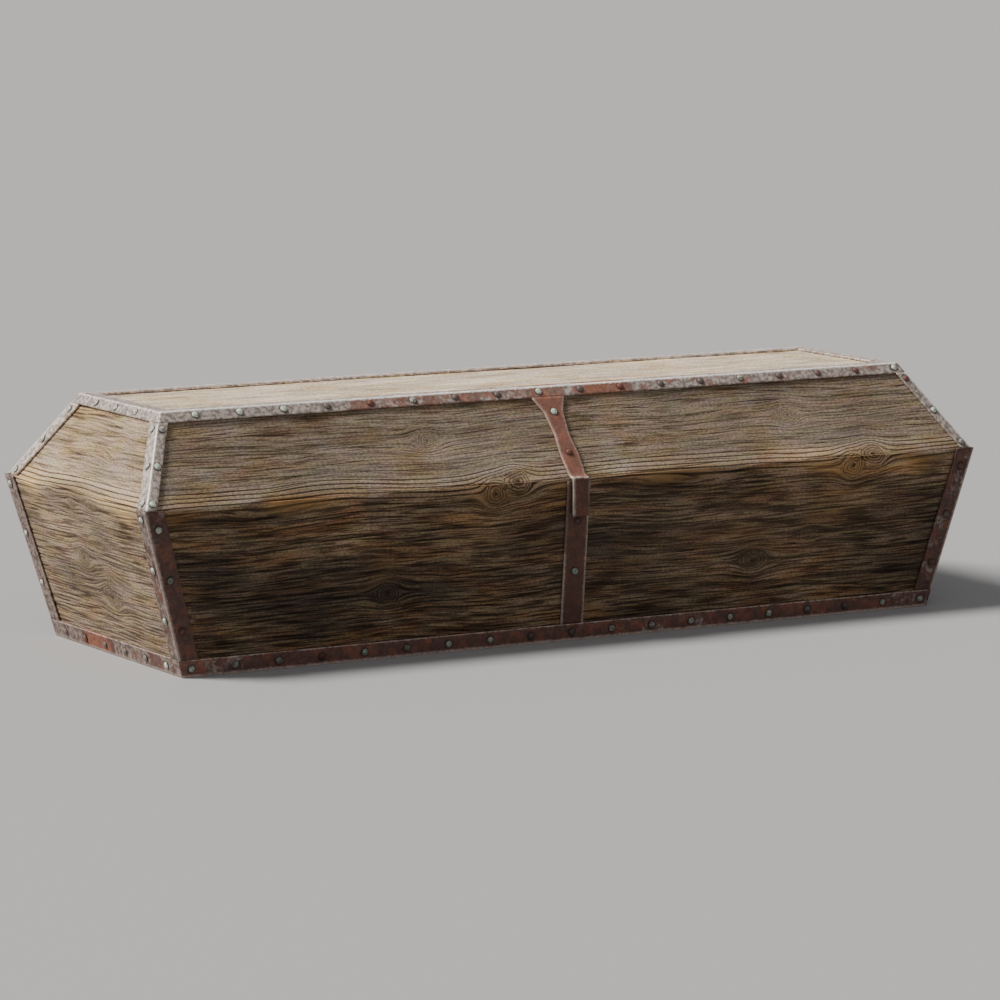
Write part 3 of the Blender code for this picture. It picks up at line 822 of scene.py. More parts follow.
# %% Boards
Board = namedtuple("Board", "part side wood cell_along cell_across grain crack hollow")
BOARDS = {
    "lid_front_board": Board("lid", "front", "front", 0.0070, 0.0013, 0.0008, 0.0011, 0.0008),
    "lid_back_board": Board("lid", "back", "front", 0.0080, 0.0019, 0.0008, 0.0011, 0.0008),
    "lid_left_board": Board("lid", "left", "ends", 0.0060, 0.0014, 0.0009, 0.0012, 0.0006),
    "lid_right_board": Board("lid", "right", "ends", 0.0070, 0.0020, 0.0009, 0.0012, 0.0006),
    "lid_top_board": Board("lid", "top", "top", 0.0075, 0.0020, 0.0006, 0.0010, 0.0008),
    "box_front_board": Board("base", "front", "front", 0.0070, 0.0014, 0.0010, 0.0013, 0.0008),
    "box_back_board": Board("base", "back", "front", 0.0080, 0.0020, 0.0010, 0.0013, 0.0008),
    "box_left_board": Board("base", "left", "ends", 0.0060, 0.0014, 0.0009, 0.0011, 0.0006),
    "box_right_board": Board("base", "right", "ends", 0.0070, 0.0020, 0.0009, 0.0011, 0.0006),
    "box_bottom_board": Board("base", "bottom", "front", 0.0180, 0.0060, 0.0006, 0.0010, 0.0008),
}
RIM_FREE = 0.003
EDGE_FREE = 0.008
BAND_TOP = 0.040
BAND_FADE = 0.012
BAND_BELOW_RIM = 0.03
CLOSING_FACES = 5
print("boards:", len(BOARDS))

# %% The grid of a board
def ordered_corners(points, side, wall):
    """Four corners as two rows, the lower one first, each from low to high along the wall."""
    along, above = wall_places(points, side, wall)
    low, high = np.split(np.argsort(above), 2)
    return np.array([points[row[np.argsort(along[row])]] for row in (low, high)])


def board_grid(name, board):
    """The points and polygons of a board, with a fine grid on its outer face."""
    wall = WALLS[board.part, board.side]
    corners = node_points(name)
    depth = corners @ wall.normal
    outer = ordered_corners(corners[depth > depth.mean()], board.side, wall)
    inner = ordered_corners(corners[depth <= depth.mean()], board.side, wall)
    rows = math.ceil(np.linalg.norm(outer[1].mean(0) - outer[0].mean(0)) / board.cell_across)
    columns = math.ceil(np.linalg.norm(outer[:, 1] - outer[:, 0], axis=1).max() / board.cell_along)
    up = np.linspace(0, 1, rows + 1)[:, None, None]
    right = np.linspace(0, 1, columns + 1)[None, :, None]
    low = (1 - right) * outer[0, 0] + right * outer[0, 1]
    high = (1 - right) * outer[1, 0] + right * outer[1, 1]
    grid = ((1 - up) * low + up * high).reshape(-1, 3)
    index = np.arange(len(grid)).reshape(rows + 1, columns + 1)
    quads = np.stack([index[:-1, :-1], index[:-1, 1:], index[1:, 1:], index[1:, :-1]], axis=-1)
    low_left, low_right, high_left, high_right = range(len(grid), len(grid) + 4)
    polygons = quads.reshape(-1, 4).tolist()
    polygons.append([*index[0, ::-1].tolist(), low_left, low_right])
    polygons.append([*index[::-1, -1].tolist(), low_right, high_right])
    polygons.append([*index[-1].tolist(), high_right, high_left])
    polygons.append([*index[:, 0].tolist(), high_left, low_left])
    polygons.append([low_right, low_left, high_left, high_right])
    facing = np.cross(outer[0, 1] - outer[0, 0], outer[1, 0] - outer[0, 0]) @ wall.normal
    if facing < 0:
        polygons = [polygon[::-1] for polygon in polygons]
    return grid, inner.reshape(-1, 3), polygons, (rows, columns)

# %% Making the boards
def make_board(name, board):
    wall = WALLS[board.part, board.side]
    grid, inner, polygons, (rows, columns) = board_grid(name, board)
    along, above = wall_places(grid, board.side, wall)
    level = board.side not in FLATS
    if level:
        worn = rim_wear(board.side, board.part, along, above)
        grid = grid + worn[:, None] * inwards(board.side, wall)
    points = np.vstack([grid, inner])
    piece = add_piece(name + "_wood", points, polygons)
    smooth = np.ones(len(polygons), dtype=bool)
    smooth[-CLOSING_FACES:] = False
    piece.data.polygons.foreach_set("use_smooth", smooth)

    along, above = wall_places(points, board.side, wall)
    across, knot, plain = bent_grain(board.side, along, above)
    seed = WALL_SEEDS[board.side]
    store(piece, "grain_place", np.stack([along + seed, across, plain], 1))
    store(piece, "wall_place", np.stack([along + seed, above, np.zeros(len(along))], 1))
    store(piece, "knot", knot)
    row = np.repeat(np.arange(rows + 1), columns + 1)
    column = np.tile(np.arange(columns + 1), rows + 1)
    from_ends = np.minimum(column, columns - column) * board.cell_along
    from_low, from_high = row * board.cell_across, (rows - row) * board.cell_across
    rim_side, far_side = (from_low, from_high) if board.part == "lid" else (from_high, from_low)
    rim_free = RIM_FREE if level else EDGE_FREE
    free = np.minimum(np.minimum(from_ends, far_side) / EDGE_FREE, rim_side / rim_free)
    store(piece, "free", np.append(np.clip(free, 0, 1), np.zeros(4)))
    if level:
        band = np.clip((BAND_TOP - across) / BAND_FADE, 0, 1) * np.clip(1 + above / BAND_BELOW_RIM, 0.0, 1)
        # Above the rim line the lid's paler tones are used, with their painted light; below it, the box's
        # darker ones.
        lit = np.clip((above - rim_line(board.side, along)) / LINE_SOFTNESS + 0.5, 0, 1)
        stains = [stain(kind, board.side, along, above) for kind in ("amber", "dark", "dusty")]
    else:
        band = np.zeros(len(along))
        lit = np.full(len(along), 1.0 if board.part == "lid" else 0.0)
        stains = np.zeros((3, len(along)))
    store(piece, "band", band)
    store(piece, "lit", lit)
    store(piece, "stains", np.stack(stains, 1))
    values = {
        "Inwards": tuple(inwards(board.side, wall)),
        "Grain": board.grain,
        "Crack": board.crack,
        "Hollow": board.hollow,
        "Material": WOODS[board.wood],
    }
    bake(piece, BOARD_RELIEF, values)
    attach(piece, "root")
    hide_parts(name)
    return piece


def triangles(piece):
    return sum(len(polygon.vertices) - 2 for polygon in piece.data.polygons)


for name, board in BOARDS.items():
    piece = make_board(name, board)
    print(piece.name, "has", triangles(piece), "triangles")

# %% [markdown]
# ## Materials for the irons
# The irons are wrought iron: grey and worn pale on the ridges where hands and cloths rub, and
# rusted in patches that spread from where water stands. On the lid's irons the near-white of the
# ridges is partly a painted highlight as well as wear. Rust is rougher than iron and isn't metal
# any more, so the mask that changes the colour changes both of those too. Each point of an iron
# knows its distance to the ridge, to the edges of its legs and to the nearest rivet, round which
# the iron is darkened with painted shade. Each point also carries a lightness, which is painted
# light and shade for its wall and its iron.

# %% Iron materials
IronTones = namedtuple("IronTones", "grey pale rust bright_rust edge")
IRON_SPECKS = (0.84, 1.14)
ORANGE_RUST = tone(140, 84, 58)
ORANGE_FROM = (1.15, 1.6)
ORANGE_STRENGTH = 0.9
GREY_IN_RUST = 0.4
MOTTLE_IN_ORANGE = 0.35
BIG_SHARE, SMALL_SHARE = 0.7, 0.3
RUST_PULL = 0.6
RUST_SWELLING = 0.4
PIT_DEPTH = 0.0006
PIT_STRENGTH = 0.6
# From bare iron to rust.
IRON_ROUGHNESS = (0.55, 0.85)
IRON_METAL = (0.35, 0.0)
RAGGED = 0.007
# Painted shade round the rivets: how far it reaches and how dark it gets.
RIVET_SHADE_REACH = (0.0085, 0.012)
RIVET_SHADE_LEVEL = 0.6


def even(per_metre):
    return (per_metre,) * 3


# Noises: waves per metre, detail and seed.
BIG_RUST_NOISE = (even(30), 5, 7.3)
SMALL_RUST_NOISE = (even(150), 3, 17.9)
MOTTLE_NOISE = (even(110), 4, 27.1)
BRIGHT_NOISE = (even(48), 4, 37.7)
RAGGED_NOISE = (even(130), 3, 47.5)
SPECK_NOISE = (even(210), 2, 67.1)
PIT_NOISE = (even(260), 3, 57.9)

shading, given = new_group(
    "rust_patches",
    "ShaderNodeTree",
    {"Place": "Vector", "Rust": "Float"},
    {"Rusted": "Float", "Mottle": "Float", "Bright": "Float"},
)
big = shading.noise(given["Place"], *BIG_RUST_NOISE)
small = shading.noise(given["Place"], *SMALL_RUST_NOISE)
spread = shading.times_plus(small, SMALL_SHARE, shading.times(big, BIG_SHARE))
spread = shading.plus(spread, shading.times_plus(given["Rust"], RUST_PULL, -RUST_PULL / 2))
mottle = shading.smooth(shading.noise(given["Place"], *MOTTLE_NOISE), 0.38, 0.62)
bright = shading.smooth(shading.noise(given["Place"], *BRIGHT_NOISE), 0.44, 0.68)
rusted = shading.smooth(spread, 0.44, 0.56)
shading.add("NodeGroupOutput", {"Rusted": rusted, "Mottle": mottle, "Bright": bright})
RUST_PATCHES = shading.tree


def iron_material(name, tones, ridge_width, edge_width):
    """Worn iron with rust, pale worn ridges and edges partly painted highlight, painted shade at rivets."""
    material, wiring, shader = shader_tree(name)
    place = wiring.add("ShaderNodeTexCoord", {}, "Object")
    inputs = {"Place": place, "Rust": attribute(wiring, "rust")}
    rusted = wiring.add("ShaderNodeGroup", inputs, "Rusted", node_tree=RUST_PATCHES)
    mottle, bright = rusted.node.outputs["Mottle"], rusted.node.outputs["Bright"]
    iron = wiring.mix(mottle, tones.grey, tones.pale)
    rust = wiring.mix(bright, tones.rust, tones.bright_rust)
    heavy = wiring.times_plus(mottle, MOTTLE_IN_ORANGE, attribute(wiring, "rust"))
    orange = wiring.times(wiring.smooth(heavy, *ORANGE_FROM), ORANGE_STRENGTH)
    rust = wiring.mix(orange, rust, ORANGE_RUST)
    colour = wiring.mix(rusted, iron, wiring.mix(wiring.times(mottle, GREY_IN_RUST), rust, tones.grey))
    edges = attribute(wiring, "edges", 1)
    ragged = wiring.times_plus(wiring.noise(place, *RAGGED_NOISE), RAGGED, -RAGGED / 2)
    ridge = wiring.smooth(wiring.plus(wiring.part(edges, 0), ragged), 0.0, ridge_width, 1.0, 0.0)
    edge = wiring.smooth(wiring.plus(wiring.part(edges, 1), ragged), 0.0, edge_width, 1.0, 0.0)
    edge = wiring.times(edge, wiring.part(edges, 2))
    colour = wiring.mix(wiring.math("MAXIMUM", ridge, edge), colour, tones.edge)
    specks = wiring.smooth(wiring.noise(place, *SPECK_NOISE), 0.32, 0.68, *IRON_SPECKS)
    near_rivet = wiring.length(attribute(wiring, "rivet_at", 1))
    # Painted shade darkens the iron near each rivet.
    rivet_shade = wiring.smooth(wiring.plus(near_rivet, ragged), *RIVET_SHADE_REACH, RIVET_SHADE_LEVEL, 1.0)
    # The light attribute is painted light and shade, by wall, by iron and below the hasp's bend.
    level = wiring.times(rivet_shade, attribute(wiring, "light"))
    pits = wiring.noise(place, *PIT_NOISE)
    pits = wiring.times_plus(rusted, RUST_SWELLING, pits)
    bumps = {"Strength": PIT_STRENGTH, "Distance": PIT_DEPTH, "Height": pits}
    joined(wiring, shader, {
        "Base Color": wiring.scale(wiring.scale(colour, specks), level),
        "Roughness": wiring.blend(rusted, *IRON_ROUGHNESS),
        "Metallic": wiring.blend(rusted, *IRON_METAL),
        "Normal": wiring.add("ShaderNodeBump", bumps),
    })
    return material


# The edge tone is the pale of wear; on the lid's irons its near-white is partly a painted highlight.
LID_IRON = IronTones(tone(142, 129, 121), tone(200, 186, 176), tone(122, 87, 75), tone(160, 103, 81),
                     tone(250, 243, 236))
# The box's iron tones are darker than the lid's, partly rust and partly painted shade.
BOX_IRON = IronTones(tone(90, 75, 68), tone(140, 123, 114), tone(80, 54, 47), tone(114, 68, 52),
                     tone(176, 160, 150))
STRAP_IRON = IronTones(tone(124, 96, 86), tone(164, 144, 132), tone(124, 81, 66), tone(152, 94, 75),
                       tone(226, 208, 194))
IRON_MATERIALS = {
    "lid_iron": iron_material("worn_lid_iron", LID_IRON, 0.0060, 0.0010),
    "box_iron": iron_material("worn_box_iron", BOX_IRON, 0.0080, 0.0030),
    "strap_iron": iron_material("worn_strap_iron", STRAP_IRON, 0.0030, 0.0075),
}
print("iron materials:", ", ".join(IRON_MATERIALS))

# %% [markdown]
# ## Forged bars
# An angle iron is one section carried along a line, and so is a strap. A ring of points follows
# the section, with its arrises rounded, and rings at every few millimetres are joined into a
# closed skin. A Geometry Nodes tree then presses shallow hammer marks and rust pits into it, only
# ever inwards, so the bar keeps its size.

# %% Bars
RING_STEP = 0.006
CELL = 0.004


def rounded_ring(corners, radius, cells):
    """A closed ring through the corners, with rounded arrises and cells along each side."""
    ring = []
    for i, corner in enumerate(corners):
        before, after = corners[i - 1], corners[(i + 1) % len(corners)]
        start = corner + unit(before - corner) * radius
        end = corner + unit(after - corner) * radius
        next_start = after + unit(corner - after) * radius
        ring += [start, (start + 2 * corner + end) / 4, end]
        ring += [end + (next_start - end) * k / cells[i] for k in range(1, cells[i])]
    return np.array(ring)


def skin(name, rings):
    """A closed tube over the rings, with a cap at each end and its faces outwards."""
    count = len(rings[0])
    polygons = [list(range(count)), list(range((len(rings) - 1) * count, len(rings) * count))]
    for step in range(len(rings) - 1):
        for i in range(count):
            j = (i + 1) % count
            low, high = step * count, (step + 1) * count
            polygons.append([low + i, low + j, high + j, high + i])
    piece = add_piece(name, np.vstack(rings), polygons)
    bm = bmesh.new()
    bm.from_mesh(piece.data)
    bmesh.ops.recalc_face_normals(bm, faces=bm.faces)
    bm.to_mesh(piece.data)
    bm.free()
    smooth = np.ones(len(polygons), dtype=bool)
    smooth[:2] = False
    piece.data.polygons.foreach_set("use_smooth", smooth)
    return piece


forging, given = new_group(
    "forged_surface",
    "GeometryNodeTree",
    {"Geometry": "Geometry", "Pits": "Float", "Marks": "Float", "Material": "Material"},
    {"Geometry": "Geometry"},
)
position = forging.add("GeometryNodeInputPosition", {})
normal = forging.add("GeometryNodeInputNormal", {})
pits = forging.smooth(forging.noise(position, even(120), 2, 3.3), 0.5, 0.7)
marks = forging.smooth(forging.noise(position, even(26), 1, 9.1), 0.35, 0.7)
depth = forging.times_plus(pits, given["Pits"], forging.times(marks, given["Marks"]))
depth = forging.times(depth, named(forging, "free"))
offset = forging.scale(normal, forging.times(depth, -1.0))
FORGED_SURFACE = close_tree(forging, given["Geometry"], offset, given["Material"])


print("the forging tree has", len(FORGED_SURFACE.nodes), "nodes")


def forge(piece, node, slot, pits, marks):
    """Finish a bar's surface and let it stand for a node of the frame."""
    bake(piece, FORGED_SURFACE, {"Pits": pits, "Marks": marks, "Material": IRON_MATERIALS[slot]})
    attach(piece, "root")
    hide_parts(node)

# %% [markdown]
# ## Finding the rivets
# The frame has each rivet head fused to its iron, so the highest points above a wall are the tops
# of the heads. They are kept for later, when finer heads are set in the same places. What is left
# of an iron without them is its twelve corners, six at each end.

# %% Rivets in the frame
HEAD_LEAST = 0.0034
HEAD_REACH = 0.010
LARGE_HEAD = 0.0045
# A head's light is painted light and shade for that rivet.
Head = namedtuple("Head", "top outwards height tone light")
RIVET_TONES = {
    "lid_front_rail": (1, 1, 0.95, 0.45, 0.1, 0.6, 0.3, 0.35, 0.9,
                       0.3, 0.05, 0.3, 0.35, 0.6, 0.3, 0.25, 0.2, 0.8),
    "base_left_rail": (0.8, 0.5, 0.45, 0.35, 0.1, 0.3),
    "lid_hasp": (0.1, 1.0),
    "box_strap": (0.45, 0.9),
}
RUSTY_SHARE = 0.2
RUSTY_TONE = 0.15
PALE_TONES = (0.4, 1.0)
LEFT_END_TONE = 0.62
LEFTWARDS = -0.5
RIVET_SEED = 5
chance_of_rust = np.random.default_rng(RIVET_SEED)


def find_heads(points, wall):
    """The tops of the rivet heads that stand on a wall."""
    heights = points @ wall.normal - wall.distance
    heads = []
    for i in np.argsort(-heights):
        if heights[i] < HEAD_LEAST:
            break
        if all(np.linalg.norm(points[i] - head.top) > HEAD_REACH for head in heads):
            heads.append(Head(points[i], wall.normal, heights[i], 0.0, 1.0))
    return heads


def toned(name, heads):
    """Give each rivet of an iron its tone, in order along it: 0 for rust, 1 for pale verdigris."""
    heads = sorted(heads, key=lambda head: tuple(head.top.round(3)))
    known = RIVET_TONES.get(name, ())
    result = []
    for i, head in enumerate(heads):
        rusty = chance_of_rust.random() < RUSTY_SHARE
        by_chance = RUSTY_TONE if rusty else chance_of_rust.uniform(*PALE_TONES)
        by_chance = LEFT_END_TONE if head.outwards[0] < LEFTWARDS else by_chance
        result.append(head._replace(tone=known[i] if i < len(known) else by_chance))
    return result


def without_heads(points, heads):
    for head in heads:
        points = points[np.linalg.norm(points - head.top, axis=1) > HEAD_REACH]
    return points


found = find_heads(node_points("lid_front_rail"), WALLS["lid", "front"])
print("rivets on the front rail of the lid:", len(found))

# %% [markdown]
# ## The angle irons
# Each iron has two legs, on two walls that meet in its ridge. Its corners are told apart by the
# walls that they lie on, outside or one thickness further in. Rust isn't spread evenly: the rail
# along the front of the lid is rusted in its middle, the left base rail has one bright patch, and
# the irons of the box are rustier than those of the lid.

# %% Angle irons
IRON_THICKNESS = 0.005
ON_WALL = 0.0006
FAR_IN = 0.010
ARRIS_RADIUS = 0.0020
FAR_EDGE = 1.0
FIRM_EDGE = 0.006
IRON_PITS, IRON_MARKS = 0.0005, 0.0006
SAME_WALL = 0.999
RUST_LEVELS = {"lid": 0.22, "base": 0.62}
RUST_STRETCHES = {
    "lid_front_rail": [(-0.50, 0.055, 0.57), (-0.06, 0.055, 1.0), (0.055, 0.225, 1.42), (0.20, 0.9, 0.42)],
    "lid_left_rail": [(0.02, 0.10, 0.45)],
    "base_left_rail": [(-0.005, 0.165, 1.6), (-0.23, -0.13, 0.95)],
    "base_front_rail": [(-0.75, 0.1, 0.8), (0.4, 0.8, 0.75)],
    "lid_hip_front_left": [(0.37, 0.41, 0.5)],
    "box_corner_front_left": [(0.05, 0.30, 0.8)],
}
RUST_FADE = 0.04
EDGE_WEAR = {"lid": 0.0, "base": 0.6}
# For the legs on a wall: more rust than the iron as a whole, their lightness, and their rivets'.
# Both lightnesses are painted light and shade, after how the light falls on the wall.
WALL_RUST_AND_PAINTED_LIGHT = {
    ("lid", "top"): (-0.15, 1.3, 1.0),
    ("lid", "front"): (0.0, 1.0, 1.1),
    ("lid", "left"): (-0.15, 1.2, 1.3),
    ("base", "left"): (-0.30, 1.75, 1.3),
    ("base", "front"): (0.0, 1.2, 0.5),
    ("base", "back"): (0.0, 1.2, 0.5),
}
PLAIN_LOOK = (0.0, 1.0, 0.8)
# Painted light and shade for single irons: a lightness for each iron's colour.
IRON_PAINTED_LIGHT = {
    "lid_left_rail": 0.92,
    "lid_back_rail": 1.12,
    "lid_hip_back_left": 1.1,
    "lid_hip_front_right": 0.88,
    "box_corner_front_left": 0.72,
    "box_corner_front_right": 0.72,
    "box_corner_back_left": 0.78,
    "box_corner_back_right": 0.72,
    "base_left_rail": 0.8,
    "base_front_rail": 1.2,
    "base_back_rail": 1.1,
}

# %% Measuring an iron
def rust_along(name, part_name, places):
    """How rusty an iron is at each place along it. Above 1 it's rusty all over and turns orange."""
    level = np.full(len(places), RUST_LEVELS[part_name])
    for start, stop, strength in RUST_STRETCHES.get(name, []):
        share = np.clip((places - start) / RUST_FADE, 0, 1) * np.clip((stop - places) / RUST_FADE, 0, 1)
        level += (strength - level) * share
    return level


def iron_ends(points, first, second):
    """The six corners of an angle iron's section at each of its ends."""
    first_depth = first.distance - points @ first.normal
    second_depth = second.distance - points @ second.normal
    on_first, on_second = first_depth < ON_WALL, second_depth < ON_WALL
    in_first = np.abs(first_depth - IRON_THICKNESS) < ON_WALL
    in_second = np.abs(second_depth - IRON_THICKNESS) < ON_WALL
    kinds = [
        on_first & on_second,
        on_first & (second_depth > FAR_IN),
        in_first & (second_depth > FAR_IN),
        in_first & in_second,
        in_second & (first_depth > FAR_IN),
        on_second & (first_depth > FAR_IN),
    ]
    ridge = unit(np.cross(first.normal, second.normal))
    near, far = [], []
    for kind in kinds:
        group = points[kind]
        order = np.argsort(group @ ridge)
        near.append(group[order[0]])
        far.append(group[order[-1]])
    return np.array(near), np.array(far), ridge


def cells_along(corners):
    """How many cells each side of a section takes: fine on outer faces, one where it is hidden."""
    lengths = np.linalg.norm(np.roll(corners, -1, axis=0) - corners, axis=1)
    cells = [max(1, round(length / CELL)) for length in lengths]
    cells[2] = cells[3] = 1
    return cells


def rivet_distances(points, heads, ridge, leg_walls, second_leg):
    """How far each point is from the nearest rivet of its own leg, along and across the iron."""
    result = np.full((len(points), 3), FAR_EDGE)
    for second, wall in enumerate(leg_walls):
        for head in heads:
            if head.outwards @ wall.normal < SAME_WALL:
                continue
            away = points - head.top
            away -= np.outer(away @ wall.normal, wall.normal)
            along = np.abs(away @ ridge)
            across = np.linalg.norm(away - np.outer(away @ ridge, ridge), axis=1)
            nearer = (second_leg == bool(second)) & (along < result[:, 0])
            result[nearer] = np.stack([along, across, np.zeros(len(along))], 1)[nearer]
    return result

# %% Making the angle irons
def make_iron(name, part_name, first_side, second_side, world_axis):
    """One angle iron, from its corners in the frame. Returns the rivet heads on it."""
    first, second = WALLS[part_name, first_side], WALLS[part_name, second_side]
    points = node_points(name)
    looks = [WALL_RUST_AND_PAINTED_LIGHT.get((part_name, side), PLAIN_LOOK) for side in (first_side, second_side)]
    heads = []
    for wall, look in zip((first, second), looks):
        heads += [head._replace(light=look[2]) for head in find_heads(points, wall)]
    near, far, ridge = iron_ends(without_heads(points, heads), first, second)
    cells = cells_along(near)
    steps = max(2, round(np.linalg.norm(far.mean(0) - near.mean(0)) / RING_STEP))
    ends = [rounded_ring(corners, ARRIS_RADIUS, cells) for corners in (near, far)]
    rings = [ends[0] + (ends[1] - ends[0]) * step / steps for step in range(steps + 1)]
    piece = skin(name + "_iron", rings)

    middle_corners, middle = (near + far) / 2, rings[steps // 2]
    from_corner = [np.linalg.norm(middle - corner, axis=1) for corner in middle_corners]
    side_of_point = np.repeat(np.arange(6), [2 + count for count in cells])
    outer = np.isin(side_of_point, (0, 5))
    from_ridge = np.where(outer, from_corner[0], FAR_EDGE)
    from_edge = np.where(outer, np.minimum(from_corner[1], from_corner[5]), FAR_EDGE)
    edges = np.stack([from_ridge, from_edge, np.full(len(middle), EDGE_WEAR[part_name])], 1)
    store(piece, "edges", np.tile(edges, (steps + 1, 1)))

    places = np.vstack(rings)
    second_leg = np.tile(side_of_point >= 3, steps + 1)
    more_rust, light, _ = np.where(second_leg, np.array([looks[1]]).T, np.array([looks[0]]).T)
    store(piece, "rust", rust_along(name, part_name, places[:, world_axis]) + more_rust)
    # The lightness of each leg and each iron is painted light and shade.
    store(piece, "light", light * IRON_PAINTED_LIGHT.get(name, 1.0))
    store(piece, "rivet_at", rivet_distances(places, heads, ridge, (first, second), second_leg))
    firm = np.minimum(from_ridge, from_edge) / FIRM_EDGE
    free = np.tile(np.clip(firm, 0, 1), (steps + 1, 1))
    free[[0, -1]] = 0
    store(piece, "free", free.ravel())
    slot = "lid_iron" if part_name == "lid" else "box_iron"
    forge(piece, name, slot, IRON_PITS, IRON_MARKS)
    print(piece.name, "has", triangles(piece), "triangles and", len(heads), "rivets")
    return toned(name, heads)


HEADS = {"lid_iron": [], "box_iron": [], "strap_iron": []}
for side in OUTWARDS:
    run = 1 if side in ENDS else 0
    HEADS["lid_iron"] += make_iron(f"lid_{side}_rail", "lid", "top", side, run)
    HEADS["box_iron"] += make_iron(f"base_{side}_rail", "base", "bottom", side, run)
for side in ("front", "back"):
    for end in ENDS:
        HEADS["lid_iron"] += make_iron(f"lid_hip_{side}_{end}", "lid", side, end, 2)
        HEADS["box_iron"] += make_iron(f"box_corner_{side}_{end}", "base", side, end, 2)

# %% [markdown]
# ## The hasp and the strap
# The hasp is a flat bar: flared where it leaves the rail, narrow in the middle, bent down at the
# rim and ended in a tab. The strap on the box is equally wide all the way. Both are swept from
# section to section, and each bend of the line is rounded, as a hot bar rounds when it is bent.

# %% Hasp and strap
FACING = 0.7
BAR_CELLS = [12, 1, 1, 1]
BEND_RADIUS = 0.005
TAB_BEND_Z = RIM_Z + 0.0025
HASP_HEADS_ABOVE = RIM_Z + 0.02
SHADED_BAR = 0.38
BAR_EDGE_WEAR = 0.3
BAR_PITS, BAR_MARKS = 0.0004, 0.0005
# For each bar, the side whose edge is worn less, and above which height.
DULL_SIDES = {"lid_hasp": (1, 0.0), "box_strap": (-1, 0.19)}

# %% Making the hasp and the strap
def bar_side(node, heads, towards):
    """The corners down the right side of a bar's faces that look this way, from the top."""
    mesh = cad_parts[node].data
    faces = [face for face in mesh.polygons if face.normal.dot(Vector(towards)) > FACING]
    facing = {i for face in faces for i in face.vertices}
    points = np.unique(np.array([mesh.vertices[i].co for i in facing]).round(5), axis=0)
    points = without_heads(points[points[:, 0] > 0], heads)
    return points[np.argsort(-points[:, 2])]


def flowing_rings(sections):
    """Rings every step from section to section, with the bends between them rounded."""
    rings = [sections[0]]
    for before, at, after in zip(sections, sections[1:], sections[2:]):
        into = at + (before - at) * min(0.5, BEND_RADIUS / np.linalg.norm((before - at).mean(0)))
        onwards = at + (after - at) * min(0.5, BEND_RADIUS / np.linalg.norm((after - at).mean(0)))
        rings += [into, (into + 2 * at + onwards) / 4, onwards]
    rings.append(sections[-1])
    result = [rings[0]]
    for ring, following in zip(rings, rings[1:]):
        steps = max(1, round(np.linalg.norm((following - ring).mean(0)) / RING_STEP))
        result += [ring + (following - ring) * step / steps for step in range(1, steps + 1)]
    return result


def make_bar(name, wall, heads_above, bend_z):
    """A flat bar in the middle of the front. Returns the rivet heads on it."""
    points = node_points(name)
    heads = find_heads(points[points[:, 2] > heads_above], wall)
    sections = []
    for outer, inner in zip(bar_side(name, heads, wall.normal), bar_side(name, heads, -wall.normal)):
        mirror = (-1, 1, 1)
        corners = np.array([outer * mirror, outer, inner, inner * mirror])
        sections.append(rounded_ring(corners, ARRIS_RADIUS, BAR_CELLS))
    rings = flowing_rings(sections)
    piece = skin(name + "_iron", rings)
    places = np.vstack(rings)
    half_widths = np.repeat([ring[:, 0].max() for ring in rings], len(rings[0]))
    above_bend = places[:, 2] > bend_z
    dull_side, dull_from = DULL_SIDES[name]
    dull = (places[:, 0] * dull_side > 0) & (places[:, 2] > dull_from)
    wear = np.where(above_bend | dull, BAR_EDGE_WEAR, 1.0)
    edges = [np.abs(places[:, 2] - bend_z), half_widths - np.abs(places[:, 0]), wear]
    store(piece, "edges", np.stack(edges, 1))
    store(piece, "rust", np.full(len(places), 1.0))
    # Below the bend, the tab and the whole strap on the box are darkened with painted shade, and so are
    # their rivets.
    store(piece, "light", np.where(above_bend, 1.0, SHADED_BAR))
    down = unit(np.cross(wall.normal, (1, 0, 0)))
    one_leg = np.zeros(len(places), dtype=bool)
    store(piece, "rivet_at", rivet_distances(places, heads, down, (wall,), one_leg))
    store(piece, "free", np.ones(len(places)))
    forge(piece, name, "strap_iron", BAR_PITS, BAR_MARKS)
    print(piece.name, "has", triangles(piece), "triangles and", len(heads), "rivets")
    return toned(name, [head._replace(light=1.0 if head.top[2] > bend_z else SHADED_BAR) for head in heads])


HEADS["strap_iron"] += make_bar("lid_hasp", WALLS["lid", "front"], HASP_HEADS_ABOVE, TAB_BEND_Z)
HEADS["strap_iron"] += make_bar("box_strap", WALLS["base", "front"], 0, FAR_EDGE)

# %% [markdown]
# ## The rivets
# A rivet head is a dome beaten down by hand, so no two are quite alike. Most are pale with old
# verdigris, and others are as rusty as the iron round them. A Geometry Nodes tree sets one squashed
# sphere on each place that was found, lets it lean and shrink a little, and dents it.

